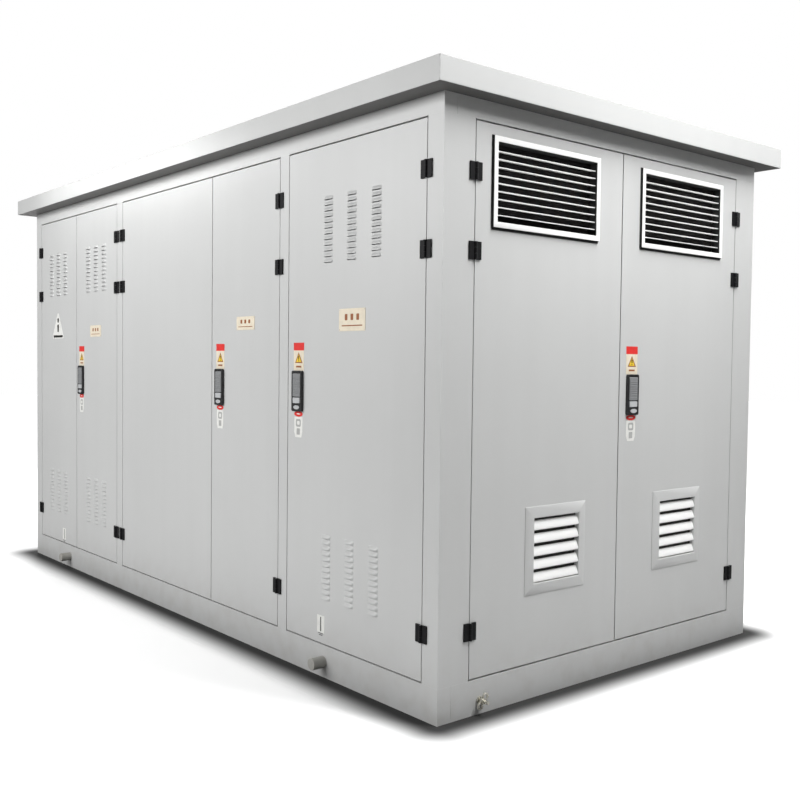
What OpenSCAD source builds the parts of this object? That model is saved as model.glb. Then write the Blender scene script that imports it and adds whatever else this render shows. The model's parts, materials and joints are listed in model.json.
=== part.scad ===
// Prefabricated compact transformer substation: a sheet-steel housing on a channel base, with a
// high-voltage room, a transformer room and a low-voltage room, closed by seven hinged door leaves.
// X runs along the housing, -Y is the front face, the origin is on the ground at the body's centre.

/* [Enclosure] */
// Depth of the body from the front face to the rear face
body_w = 1966; // [1960:1:2040]
// Height of the base channels
base_h = 130; // [120:1:150]
// Height of every door opening
opening_h = 2004; // [1990:1:2060]
// Height of the rails above the doors
header_h = 70; // [60:1:90]
// Width of a corner post on the long faces
corner_front = 84; // [80:1:100]
// Width of a corner post on the end faces
corner_end = 149; // [140:1:160]

/* [Rooms] */
// Width of the high-voltage room's door opening
hv_opening = 1165; // [1150:1:1200]
// Width of the transformer room's door opening
tr_opening = 1584; // [1570:1:1640]
// Width of the low-voltage room's side door opening
lv_opening = 876; // [860:1:900]
// Width of the post between the high-voltage and transformer rooms
hv_post = 71; // [68:1:80]
// Width of the post between the transformer and low-voltage rooms
lv_post = 66; // [64:1:80]
// Width of the wide passive leaf of the transformer room
wide_leaf = 1000; // [960:1:1040]

/* [Roof] */
// Height of the upright edge of the roof
fascia_h = 87; // [70:1:110]
// How far the roof stands out past the end faces
overhang_x = 80; // [78:1:100]
// How far the roof stands out past the long faces
overhang_y = 95; // [90:1:120]
// Rise of the roof's ridge above its edge
roof_rise = 36; // [20:1:60]

/* [Doors] */
// Thickness of a door leaf over its folded edges
door_t = 40; // [36:1:42]
// Sheet thickness of doors and wall panels
sheet_t = 2.5; // [2:0.5:3]
// Gap between a leaf and its post
door_gap = 4; // [3.5:0.5:5]
// Gap between a leaf and the head or sill
sill_gap = 6; // [4:0.5:8]
// Gap between the two leaves of a pair
leaf_gap = 5; // [4.5:0.5:6]

/* [Hinges] */
// Height of a hinge
hinge_h = 64; // [58:2:70]
// Width of one hinge leaf from the pin's axis
hinge_leaf_w = 29; // [26:1:31]
// Radius of a hinge pin
pin_r = 3; // [2.5:0.5:3.5]
// Radius of a hinge knuckle
knuckle_r = 6; // [6:0.25:6.5]

/* [Handles] */
// Width of the handle plate
plate_w = 72; // [68:1:76]
// Height of the handle plate
plate_h = 168; // [164:1:176]
// How far the handle plate stands out of the door
plate_t = 12; // [12:0.5:14]
// Height of the plate's centre above the ground
handle_z = 1150; // [1100:5:1200]
// Distance of the plate's centre from the leaf's free edge
handle_inset = 78; // [70:1:90]

/* [Ventilation] */
// Width of one pressed louvre
louvre_w = 62; // [50:1:64]
// Louvres in one column
louvre_rows = 12; // [6:1:12]
// Slats in an upper grille
grille_slats = 9; // [6:1:9]
// How far an upper grille's frame stands out of the door
grille_out = 12; // [8:1:14]
// Slats in a lower louvre window
window_slats = 5; // [4:1:5]

/* [Power equipment] */
// Length of the transformer tank across the housing
tank_l = 1240; // [1100:10:1260]
// Width of the transformer tank along the housing
tank_w = 620; // [560:10:640]
// Height of the transformer tank
tank_h = 980; // [900:10:1000]
// Radius of a high-voltage cable
cable_r = 18; // [14:1:20]

/* [Hidden] */
$fn = 48;
// Overrun of a cut, and the overlap that joins two bodies
eps = 0.5;
bite = 1;

// Places along the front face, measured from its left end
hv_left = corner_front;
hv_right = hv_left + hv_opening;
tr_left = hv_right + hv_post;
tr_right = tr_left + tr_opening;
lv_left = tr_right + lv_post;
lv_right = lv_left + lv_opening;
body_l = lv_right + corner_front;
end_left = corner_end;
end_right = body_w - corner_end;
front_openings = [[hv_left, hv_right], [tr_left, tr_right], [lv_left, lv_right]];
end_opening = [end_left, end_right];
hv_split = (hv_left + hv_right) / 2;
tr_split = tr_left + wide_leaf;
end_split = body_w / 2;

// Heights
head_z = base_h + opening_h;
soffit_z = head_z + header_h;
roof_edge_z = soffit_z + fascia_h;
door_h = opening_h - 2 * sill_gap;
door_z = base_h + sill_gap;

// Leaf: [left end, right end, hinge side (-1 left, 1 right), on the end face]
leaf_a = [hv_left + door_gap, hv_split - leaf_gap / 2, -1, false];
leaf_b = [hv_split + leaf_gap / 2, hv_right - door_gap, 1, false];
leaf_c = [tr_left + door_gap, tr_split - leaf_gap / 2, -1, false];
leaf_d = [tr_split + leaf_gap / 2, tr_right - door_gap, 1, false];
leaf_e = [lv_left + door_gap, lv_right - door_gap, 1, false];
leaf_f = [end_left + door_gap, end_split - leaf_gap / 2, -1, true];
leaf_g = [end_split + leaf_gap / 2, end_right - door_gap, 1, true];
leaves = [leaf_a, leaf_b, leaf_c, leaf_d, leaf_e, leaf_f, leaf_g];
function axis_x(leaf) = leaf[2] < 0 ? leaf[0] - door_gap / 2 : leaf[1] + door_gap / 2;
function leaf_mid(leaf) = (leaf[0] + leaf[1]) / 2;
function handle_x(leaf) = leaf[0] + handle_inset;

// Structure
post_depth = 60;
tube_t = 4;
channel_web = 6;
channel_flange = 65;
flange_t = 8;
member_w = 60;
member_low = 20;
joint_gap = 0.5;
seal_w = 22;
seal_t = 16;
seal_gap = 0.5;
floor_t = 4;
anchor_r = 9;
anchor_edge = 38;
anchor_x = 1800;
trunnion_left = 560;
trunnion_right = 3243;
trunnion_z = 63;
trunnion_r = 24;
trunnion_reach = 60;
spigot_r = 20;
spigot_in = 36;
// Earth terminal: [radius, height] of its round parts, then its wings
earth_y = 205;
earth_z = 52;
boss = [14, 8];
stud = [6, 48];
nut = [11, 13];
nut_z = 14;
wing_r = 14;
wing_loop = 8;
wing_t = 6;
wing_reach = 20;
wing_z = 20;
wing_turns = [50, 230];
partition_t = 40;
hv_wall_x = hv_right + hv_post / 2 - body_l / 2;
lv_wall_x = tr_right + lv_post / 2 - body_l / 2;
inner_y = body_w / 2 - post_depth;

// Louvres
louvre_pitch = 22.5;
louvre_top_z = 1806;
louvre_low_z = 457;
slot_h = 12;
hood_out = 9;
hood_lip = 2;
slot_edge = 2;
narrow_pitch = 112;
wide_pitch = 153;
louvre_count = 3;

// Grilles: centre along the face, centre height, width and height over the frame.
// A slat is [depth, thickness, tilt]
grille_w = 593;
grille_h = 326;
grille_z = 1924;
grille_f_x = 530;
grille_g_x = 1397;
grille_band = 20;
grille_slat = [30, 2.5, 20];
window_w = 346;
window_h = 337;
window_z = 565;
window_f_x = 607;
window_g_x = 1398;
window_band = 44;
window_slat = [44, 2.5, 38];
window_out = 7;
insert_in = 30;
insert_clear = 0.4;

// Hinges
hinge_zs = [310, 1671, 1950];
hinge_t = 6;
axis_out = 7;
running = 0.05;
knuckle_gap = 0.4;
knuckle_clear = 0.6;

// Handle
pocket_w = 58;
pocket_top = 75;
pocket_low = -51;
pocket_floor = 3;
lever_w = 54;
lever_t = 9;
lever_len = 92;
lever_pivot_drop = 6;
lever_clear = 0.5;
plate_corner_r = 8;
stub_r = 2;
stub_reach = 6;
button_w = 50;
button_h = 23;
button_t = 6.5;
button_corner_r = 3;
button_clear = 1;
button_travel = 3;
button_z = pocket_low + button_clear + button_h / 2;
stem_r = 5;
stem_in = 12;
lock_hole_w = 44;
lock_hole_h = 130;
rib_count = 8;
rib_r = 1.6;
rib_side = 4;
rib_top = 14;
rib_foot = 12;

// Transformer
tr_x = (hv_wall_x + lv_wall_x) / 2;
skid_h = 80;
skid_w = 100;
tank_z = base_h + floor_t + skid_h;
tank_wall = 6;
fin_pitch = 56;
fin_t = 14;
fin_side = 150;
fin_end = 110;
fin_h = 720;
fin_margin = 80;
fin_end_margin = 60;
lid_t = 12;
lid_rim = 40;
rim_in = 20;
lug = [60, 12, 60];
lug_inset = [60, 30];
lug_eye_r = 14;
lug_eye_z = 34;
filler = [32, 120];
filler_cap = [44, 24];
lid_z = tank_z + tank_h;
hv_bushing_x = tr_x - 170;
lv_bushing_x = tr_x + 170;
hv_line_y = -200;
hv_pitch = 200;
lv_pitch = 200;
hv_bushing_h = 330;
lv_bushing_h = 180;
// Insulators: [body radius, shed radius, sheds]
hv_insulator = [30, 58, 5];
lv_insulator = [26, 42, 2];
foot_h = 14;
foot_rim = 8;
terminal_h = 20;
terminal_share = 0.45;
shed_margin = 60;
shed_drop = 6;
shed_edge = 4;
bushing_zero = lid_z + lid_t;
phases = [-1, 0, 1];
poles = [-1.5, -0.5, 0.5, 1.5];
core_leg_r = 110;
core_pitch = 380;
core_leg_h = 860;
core_z = 40;
yoke_w = 190;
yoke_h = 160;
winding_r = 178;
winding_h = 460;
winding_z = 220;
winding_gap = 2;
tap_disc = [34, 30];
tap_bar = [16, 80, 20];
tap_bar_z = 22;
tap_shaft_r = 10;
shaft_in = 60;
knob_lift = 1;
knob_x = tr_x;
valve_x = tr_x - 160;
valve_y = 480;
knob_y = 400;

// High-voltage switchgear
rmu_w = 1000;
rmu_d = 760;
rmu_h = 1400;
rmu_x = hv_wall_x - 575;
rmu_y = -740;
rmu_z = base_h + floor_t;
rmu_door_t = 18;
rmu_knob_z = rmu_z + 1080;
rmu_knob_x = 240;
rmu_cover = [300, 640];
rmu_cover_z = 60;
rmu_cover_pitch = 325;
rmu_panel_h = 580;
rmu_panel_z = 760;
rmu_panel_in = 20;
knob_r = 42;
knob_t = 16;
grip = [18, 22];
grip_in = 2;
switch_shaft_r = 12;
switch_shaft_in = 50;
bend_r = 150;
cable_clear = 0.2;
cable_z = 1800;
cable_start_x = hv_wall_x - 230;
cable_top_z = rmu_z + rmu_h;

// Low-voltage board
board_w = 1500;
board_d = 420;
board_h = 1820;
board_x = lv_wall_x + 45;
board_z = base_h + floor_t;
board_frame = 20;
board_plate = 200;
breaker_w = 420;
breaker_h = 460;
breaker_z = 1480;
breaker_d = 170;
breaker_face = [60, 16];
breaker_bore_in = 35;
breaker_knob = [30, 14];
breaker_grip = [18, 68, 22];
breaker_grip_z = 8;
breaker_shaft_r = 9;
breaker_shaft_in = 30;
breaker_knob_x = 386;
fuse_count = 8;
fuse_w = 100;
fuse_h = 620;
fuse_pitch = 150;
fuse_z = 760;
fuse_d = 90;
carrier = [50, 15, 150];
carrier_pitch = 200;
carrier_z = 30;
carrier_count = 3;
bar_t = 10;
bar_w = 80;
bar_z = 1700;
bar_window_h = 200;

// Colours
grey = [0.80, 0.81, 0.81];
dark_grey = [0.35, 0.36, 0.37];
black = [0.07, 0.07, 0.08];

// Face coordinates: x along the face from its left end, outwards is -y, z up
module on_front() {
  translate([-body_l / 2, -body_w / 2, 0]) children();
}

module on_right_end() {
  translate([body_l / 2, -body_w / 2, 0]) rotate([0, 0, 90]) children();
}

module on_rear() {
  translate([body_l / 2, body_w / 2, 0]) rotate([0, 0, 180]) children();
}

module on_left_end() {
  translate([-body_l / 2, body_w / 2, 0]) rotate([0, 0, -90]) children();
}

module on_face_of(leaf) {
  if (leaf[3]) on_right_end() children();
  else on_front() children();
}

// Upright sheet in the face plane, from y = 0 inwards
module upright(t) {
  translate([0, t, 0]) rotate([90, 0, 0]) linear_extrude(t) children();
}

// Profile in the plane across the face (y, z), drawn along the face
module along_face(length) {
  rotate([90, 0, 90]) translate([0, 0, -length / 2]) linear_extrude(length) children();
}

module box_between(low, high) {
  translate(low) cube(high - low);
}

module centred_rect(x, z, w, h) {
  translate([x - w / 2, z - h / 2]) square([w, h]);
}

// Round body from its [radius, height]
module disc(size) {
  cylinder(h = size[1], r = size[0]);
}

// Plate with round corners, exact arcs, from y = 0 outwards
module round_plate(w, h, t, r) {
  rotate([90, 0, 0]) linear_extrude(t) union() {
    square([w - 2 * r, h], center = true);
    square([w, h - 2 * r], center = true);
    for (x = [-1, 1], z = [-1, 1])
      translate([x * (w / 2 - r), z * (h / 2 - r)]) circle(r);
  }
}

// Hollow section: outer box with an open-ended bore along one axis (0 = x, 1 = y, 2 = z)
module tube_between(low, high, along) {
  cut = [for (i = [0:2]) i == along ? -1 : tube_t];
  difference() {
    box_between(low, high);
    box_between(low + cut, high - cut);
  }
}

function louvre_places(mid, z, pitch) = [
  for (c = [0:louvre_count - 1], r = [0:louvre_rows - 1])
    [mid + (c - (louvre_count - 1) / 2) * pitch, z + (r - (louvre_rows - 1) / 2) * louvre_pitch]
];

function louvre_set(mid, pitch) = concat(
  louvre_places(mid, louvre_top_z, pitch), louvre_places(mid, louvre_low_z, pitch)
);

// Hood pressed out over a louvre's slot, its mouth facing down
module hood() {
  along_face(louvre_w)
    polygon([[eps, bite], [-hood_out, -slot_h], [-hood_out, -slot_h - hood_lip], [eps, -hood_lip]]);
}

// Folded tray: a skin with turned edges, its holes cut from the skin
module tray(x0, x1, places) {
  difference() {
    union() {
      upright(sheet_t) difference() {
        translate([x0, door_z]) square([x1 - x0, door_h]);
        for (p = places)
          centred_rect(p[0], p[1] - (slot_h + slot_edge) / 2, louvre_w - 2 * slot_edge, slot_h - slot_edge);
      }
      upright(door_t) difference() {
        translate([x0, door_z]) square([x1 - x0, door_h]);
        translate([x0 + sheet_t, door_z + sheet_t])
          square([x1 - x0 - 2 * sheet_t, door_h - 2 * sheet_t]);
      }
      for (p = places) translate([p[0], 0, p[1]]) hood();
    }
    children();
  }
}

module face_hole(x, z, w, h) {
  translate([x - w / 2, -eps, z - h / 2]) cube([w, sheet_t + 2 * eps, h]);
}

module lock_hole(leaf) {
  face_hole(handle_x(leaf), handle_z, lock_hole_w, lock_hole_h);
}

module door_a_panel() {
  color(grey) on_front() tray(leaf_a[0], leaf_a[1], louvre_set(leaf_mid(leaf_a), narrow_pitch));
}

module door_b_panel() {
  color(grey) on_front() tray(leaf_b[0], leaf_b[1], louvre_set(leaf_mid(leaf_b), narrow_pitch))
    lock_hole(leaf_b);
}

module door_c_panel() {
  color(grey) on_front() tray(leaf_c[0], leaf_c[1], []);
}

module door_d_panel() {
  color(grey) on_front() tray(leaf_d[0], leaf_d[1], []) lock_hole(leaf_d);
}

module door_e_panel() {
  color(grey) on_front() tray(leaf_e[0], leaf_e[1], louvre_set(leaf_mid(leaf_e), wide_pitch))
    lock_hole(leaf_e);
}

// Holes that take an end door's grille and louvre window
module insert_holes(top_x, low_x) {
  face_hole(top_x, grille_z, grille_w - grille_band, grille_h - grille_band);
  face_hole(low_x, window_z, window_w - window_band, window_h - window_band);
}

module door_f_panel() {
  color(grey) on_right_end() tray(leaf_f[0], leaf_f[1], []) insert_holes(grille_f_x, window_f_x);
}

module door_g_panel() {
  color(grey) on_right_end() tray(leaf_g[0], leaf_g[1], []) {
    insert_holes(grille_g_x, window_g_x);
    lock_hole(leaf_g);
  }
}

// Framed insert: a flange on the door's face, a sleeve through its hole, and slats in the sleeve
module slatted_insert(x, z, w, h, band, out, slats, slat) {
  hole_w = w - band - 2 * insert_clear;
  hole_h = h - band - 2 * insert_clear;
  open_w = w - 2 * band;
  open_h = h - 2 * band;
  translate([x, 0, z]) {
    rotate([90, 0, 0]) linear_extrude(out) difference() {
      square([w, h], center = true);
      square([open_w, open_h], center = true);
    }
    translate([0, insert_in, 0]) rotate([90, 0, 0]) linear_extrude(insert_in + eps) difference() {
      square([hole_w, hole_h], center = true);
      square([open_w, open_h], center = true);
    }
    for (i = [1:slats])
      translate([0, insert_in / 2, -open_h / 2 + i * open_h / (slats + 1)])
        rotate([slat[2], 0, 0]) cube([open_w + 2 * bite, slat[0], slat[1]], center = true);
  }
}

module upper_grille(x) {
  slatted_insert(x, grille_z, grille_w, grille_h, grille_band, grille_out, grille_slats, grille_slat);
}

module louvre_window(x) {
  slatted_insert(x, window_z, window_w, window_h, window_band, window_out, window_slats, window_slat);
}

module door_f_grille() {
  color("whitesmoke") on_right_end() upper_grille(grille_f_x);
}

module door_g_grille() {
  color("whitesmoke") on_right_end() upper_grille(grille_g_x);
}

module door_f_louvre_window() {
  color("lightgray") on_right_end() louvre_window(window_f_x);
}

module door_g_louvre_window() {
  color("lightgray") on_right_end() louvre_window(window_g_x);
}

// Leaf plate of a hinge, side -1 left of the pin and 1 right of it; its knuckles fill the given thirds
module hinge_leaf(side, thirds) {
  third = hinge_h / 3;
  inner = knuckle_r + knuckle_clear;
  difference() {
    union() {
      translate([side > 0 ? inner : -hinge_leaf_w, -hinge_t, -hinge_h / 2])
        cube([hinge_leaf_w - inner, hinge_t, hinge_h]);
      for (i = thirds) translate([0, 0, i * third]) {
        translate([0, -axis_out, -third / 2 + knuckle_gap / 2])
          cylinder(h = third - knuckle_gap, r = knuckle_r);
        translate([side > 0 ? 0 : -inner - bite, -hinge_t, -third / 2 + knuckle_gap / 2])
          cube([inner + bite, hinge_t - bite, third - knuckle_gap]);
      }
    }
    bore = len(thirds) == 1 ? pin_r + running : pin_r;
    translate([0, -axis_out, -hinge_h]) cylinder(h = 2 * hinge_h, r = bore);
  }
}

module door_hinges(leaf) {
  color(black) on_face_of(leaf)
    for (z = hinge_zs) translate([axis_x(leaf), 0, z]) hinge_leaf(-leaf[2], [0]);
}

module frame_hinge_leaves() {
  color(black) for (leaf = leaves) on_face_of(leaf)
    for (z = hinge_zs) translate([axis_x(leaf), 0, z]) hinge_leaf(leaf[2], [-1, 1]);
}

module hinge_pins() {
  color("silver") for (leaf = leaves) on_face_of(leaf)
    for (z = hinge_zs) translate([axis_x(leaf), -axis_out, z - hinge_h / 2])
      cylinder(h = hinge_h, r = pin_r);
}

// Handle plate: a shallow pocket holds the lever above and the push-button below
module handle_plate(leaf) {
  pivot_z = pocket_top - lever_pivot_drop;
  pivot_y = -pocket_floor - lever_clear - lever_t / 2;
  color(black) on_face_of(leaf) translate([handle_x(leaf), 0, handle_z]) difference() {
    round_plate(plate_w, plate_h, plate_t, plate_corner_r);
    translate([-pocket_w / 2, -plate_t - eps, pocket_low])
      cube([pocket_w, plate_t + eps - pocket_floor, pocket_top - pocket_low]);
    translate([0, pivot_y, pivot_z]) rotate([0, 90, 0])
      cylinder(h = lever_w + 2 * stub_reach + bite, r = stub_r + running, center = true);
    translate([0, eps, button_z]) rotate([90, 0, 0])
      cylinder(h = plate_t, r = stem_r + running);
  }
}

// Lever: round at its pivot, ribbed for the fingers, with a stub on each side
module handle_lever(leaf) {
  pivot_z = pocket_top - lever_pivot_drop;
  pivot_y = -pocket_floor - lever_clear - lever_t / 2;
  color(dark_grey) on_face_of(leaf)
    translate([handle_x(leaf), pivot_y, handle_z + pivot_z]) {
      rotate([0, 90, 0]) cylinder(h = lever_w, r = lever_t / 2, center = true);
      translate([-lever_w / 2, -lever_t / 2, -lever_len]) cube([lever_w, lever_t, lever_len]);
      rotate([0, 90, 0]) cylinder(h = lever_w + 2 * stub_reach, r = stub_r, center = true);
      for (i = [0:rib_count - 1])
        translate([0, -lever_t / 2, -rib_top - i * (lever_len - rib_top - rib_foot) / (rib_count - 1)])
          rotate([0, 90, 0]) cylinder(h = lever_w - 2 * rib_side, r = rib_r, center = true);
    }
}

module handle_button(leaf) {
  color("lightgray") on_face_of(leaf)
    translate([handle_x(leaf), 0, handle_z + button_z]) {
      translate([0, -pocket_floor - button_travel - eps, 0])
        round_plate(button_w, button_h, button_t, button_corner_r);
      translate([0, stem_in, 0]) rotate([90, 0, 0])
        cylinder(h = stem_in + pocket_floor + button_travel + bite, r = stem_r);
    }
}

module door_a_hinge_leaves() { door_hinges(leaf_a); }
module door_b_hinge_leaves() { door_hinges(leaf_b); }
module door_c_hinge_leaves() { door_hinges(leaf_c); }
module door_d_hinge_leaves() { door_hinges(leaf_d); }
module door_e_hinge_leaves() { door_hinges(leaf_e); }
module door_f_hinge_leaves() { door_hinges(leaf_f); }
module door_g_hinge_leaves() { door_hinges(leaf_g); }
module handle_b_plate() { handle_plate(leaf_b); }
module handle_d_plate() { handle_plate(leaf_d); }
module handle_e_plate() { handle_plate(leaf_e); }
module handle_g_plate() { handle_plate(leaf_g); }
module handle_b_lever() { handle_lever(leaf_b); }
module handle_d_lever() { handle_lever(leaf_d); }
module handle_e_lever() { handle_lever(leaf_e); }
module handle_g_lever() { handle_lever(leaf_g); }
module handle_b_button() { handle_button(leaf_b); }
module handle_d_button() { handle_button(leaf_d); }
module handle_e_button() { handle_button(leaf_e); }
module handle_g_button() { handle_button(leaf_g); }

// Channel with its web at y = 0, its flanges inwards and its ends plated, along x
module channel(length) {
  difference() {
    translate([-length / 2, 0, 0]) cube([length, channel_flange, base_h]);
    translate([-length / 2 + channel_web, channel_web, flange_t])
      cube([length - 2 * channel_web, channel_flange, base_h - 2 * flange_t]);
  }
}

// Header rail: a folded channel with plated ends, its back open to the inside
module header_rail(length) {
  difference() {
    translate([0, 0, head_z]) cube([length, post_depth, header_h]);
    translate([tube_t, tube_t, head_z + tube_t])
      cube([length - 2 * tube_t, post_depth, header_h - 2 * tube_t]);
  }
}

module base_frame() {
  end_length = body_w - 2 * channel_flange - 2 * joint_gap;
  cross_xs = [hv_wall_x, tr_x - tank_w / 4, tr_x + tank_w / 4, lv_wall_x];
  color(grey) {
    for (side = [0, 180]) rotate([0, 0, side]) difference() {
      translate([0, -body_w / 2, 0]) channel(body_l);
      for (x = [-anchor_x, anchor_x])
        translate([x, -body_w / 2 + anchor_edge, -eps]) cylinder(h = flange_t + 2 * eps, r = anchor_r);
      for (place = [trunnion_left, trunnion_right])
        translate([(side == 0 ? 1 : -1) * (place - body_l / 2), -body_w / 2 - eps, trunnion_z])
          rotate([-90, 0, 0]) cylinder(h = channel_web + 2 * eps, r = spigot_r);
    }
    for (side = [90, -90]) rotate([0, 0, side]) translate([0, -body_l / 2, 0]) channel(end_length);
    for (x = cross_xs)
      tube_between(
        [x - member_w / 2, -end_length / 2, member_low], [x + member_w / 2, end_length / 2, base_h], 1
      );
  }
}

// Room floors; the outer rooms have a cable entry, the transformer room an oil drain
hv_entry = [500, 260];
lv_entry = [190, 900];
hv_entry_x = rmu_x;
hv_entry_y = 330;
drain_r = 30;
lv_entry_x = board_x + (board_plate + board_d) / 2;
floor_hv = [-body_l / 2 + post_depth, hv_wall_x];
floor_tr = [hv_wall_x + joint_gap, lv_wall_x - joint_gap];
floor_lv = [lv_wall_x, body_l / 2 - post_depth];

// The floor is notched where it meets the corner posts
module room_floor(span) {
  difference() {
    box_between([span[0], -inner_y, base_h], [span[1], inner_y, base_h + floor_t]);
    for (x = [-1, 1], y = [-1, 1])
      translate([x * (body_l - corner_front) / 2, y * (body_w - corner_end) / 2, base_h])
        cube([corner_front + bite, corner_end + bite, base_h], center = true);
  }
}

module floor_plates() {
  color("dimgray") {
    difference() {
      room_floor(floor_hv);
      translate([hv_entry_x, hv_entry_y, base_h])
        cube([hv_entry[0], hv_entry[1], 4 * floor_t], center = true);
    }
    difference() {
      room_floor(floor_tr);
      translate([tr_x, 0, base_h - eps]) cylinder(h = floor_t + 2 * eps, r = drain_r);
    }
    difference() {
      room_floor(floor_lv);
      translate([lv_entry_x, 0, base_h]) cube([lv_entry[0], lv_entry[1], 4 * floor_t], center = true);
    }
  }
}

module frame_posts() {
  color(grey) for (face = [0, 180]) rotate([0, 0, face]) on_front() {
    tube_between([0, 0, base_h], [corner_front, corner_end, head_z], 2);
    tube_between([lv_right, 0, base_h], [body_l, corner_end, head_z], 2);
    mirrored = face == 180;
    for (span = [[hv_right, tr_left], [tr_right, lv_left]]) {
      low = mirrored ? body_l - span[1] : span[0];
      high = mirrored ? body_l - span[0] : span[1];
      tube_between([low, 0, base_h], [high, post_depth, head_z], 2);
    }
  }
}

module frame_headers() {
  reach = body_w - 2 * post_depth - 2 * joint_gap;
  color(grey) {
    for (face = [0, 180]) rotate([0, 0, face]) on_front() header_rail(body_l);
    for (face = [90, -90]) rotate([0, 0, face]) translate([-reach / 2, -body_l / 2, 0])
      header_rail(reach);
  }
}

// Rubber-faced stop round one opening
module seal_ring(opening) {
  upright(seal_t) difference() {
    translate([opening[0], base_h]) square([opening[1] - opening[0], opening_h]);
    translate([opening[0] + seal_w, base_h + seal_w])
      square([opening[1] - opening[0] - 2 * seal_w, opening_h - 2 * seal_w]);
  }
}

module door_seals() {
  color(black) {
    translate([0, seal_gap, 0]) on_front() translate([0, door_t, 0])
      for (opening = front_openings) seal_ring(opening);
    translate([-seal_gap, 0, 0]) on_right_end() translate([0, door_t, 0]) seal_ring(end_opening);
    on_rear() translate([0, door_t, 0])
      for (opening = front_openings) seal_ring([body_l - opening[1], body_l - opening[0]]);
    on_left_end() translate([0, door_t, 0]) seal_ring(end_opening);
  }
}

module rear_panels() {
  color(grey) on_rear() for (opening = front_openings) {
    low = body_l - opening[1] + door_gap;
    high = body_l - opening[0] - door_gap;
    tray(low, high, louvre_set((low + high) / 2, wide_pitch));
  }
}

module left_end_panel() {
  color(grey) on_left_end()
    tray(end_left + door_gap, end_right - door_gap, louvre_set(body_w / 2, wide_pitch));
}

// Sheet with a turned edge all round, open towards +x
module partition(x) {
  low = [x - partition_t / 2, -inner_y, base_h + floor_t];
  high = [x + partition_t / 2, inner_y, soffit_z];
  difference() {
    box_between(low, high);
    box_between(low + [sheet_t, sheet_t, sheet_t], high + [eps, -sheet_t, -sheet_t]);
  }
}

// Walls between the rooms: cable holes towards the high-voltage room, a bar window on the other side
module partition_walls() {
  color("gainsboro") {
    difference() {
      partition(hv_wall_x);
      for (i = phases) translate([hv_wall_x, hv_line_y + i * hv_pitch, cable_z]) rotate([0, 90, 0])
        cylinder(h = 2 * partition_t, r = cable_r + cable_clear, center = true);
    }
    difference() {
      partition(lv_wall_x);
      translate([lv_wall_x, 0, bar_z]) cube([2 * partition_t, 4 * lv_pitch, bar_window_h], center = true);
    }
  }
}

module roof_soffit() {
  color(dark_grey) box_between(
    [-body_l / 2 - overhang_x + sheet_t, -body_w / 2 - overhang_y + sheet_t, soffit_z],
    [body_l / 2 + overhang_x - sheet_t, body_w / 2 + overhang_y - sheet_t, soffit_z + floor_t]
  );
}

// Gabled block whose slopes meet at a ridge; two of them crossed give the hipped roof
module gable(length, width, low, high, rise) {
  rotate([90, 0, 90]) translate([0, 0, -length / 2]) linear_extrude(length)
    polygon([[-width / 2, low], [width / 2, low], [width / 2, high], [0, high + rise], [-width / 2, high]]);
}

module hipped_block(inset, low, drop) {
  length = body_l + 2 * overhang_x - 2 * inset;
  width = body_w + 2 * overhang_y - 2 * inset;
  high = roof_edge_z - drop;
  intersection() {
    gable(length, width, low, high, roof_rise);
    rotate([0, 0, 90]) gable(width, length, low, high, roof_rise * length / width);
  }
}

module roof_cover() {
  color("white") difference() {
    hipped_block(0, soffit_z, 0);
    hipped_block(sheet_t, soffit_z - bite, sheet_t);
  }
}

// Round stubs on the base channels, to hang slings from; a spigot goes through the web
module lifting_trunnions() {
  color("gray") for (side = [0, 180], place = [trunnion_left, trunnion_right])
    rotate([0, 0, side])
      translate([(side == 0 ? 1 : -1) * (place - body_l / 2), -body_w / 2, trunnion_z]) {
        rotate([90, 0, 0]) cylinder(h = trunnion_reach, r = trunnion_r);
        rotate([-90, 0, 0]) cylinder(h = spigot_in, r = spigot_r);
      }
}

// Earth terminal on the right end: a boss, a stud and a wing nut with looped wings
module earth_stud() {
  color("silver") on_right_end() translate([earth_y, 0, earth_z]) rotate([90, 0, 0]) {
    disc(boss);
    disc(stud);
    translate([0, 0, nut_z]) disc(nut);
    for (turn = wing_turns) rotate([0, 0, turn]) translate([wing_reach, 0, wing_z]) difference() {
      cylinder(h = wing_t, r = wing_r, center = true);
      cylinder(h = wing_t + bite, r = wing_loop, center = true);
    }
  }
}

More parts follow.
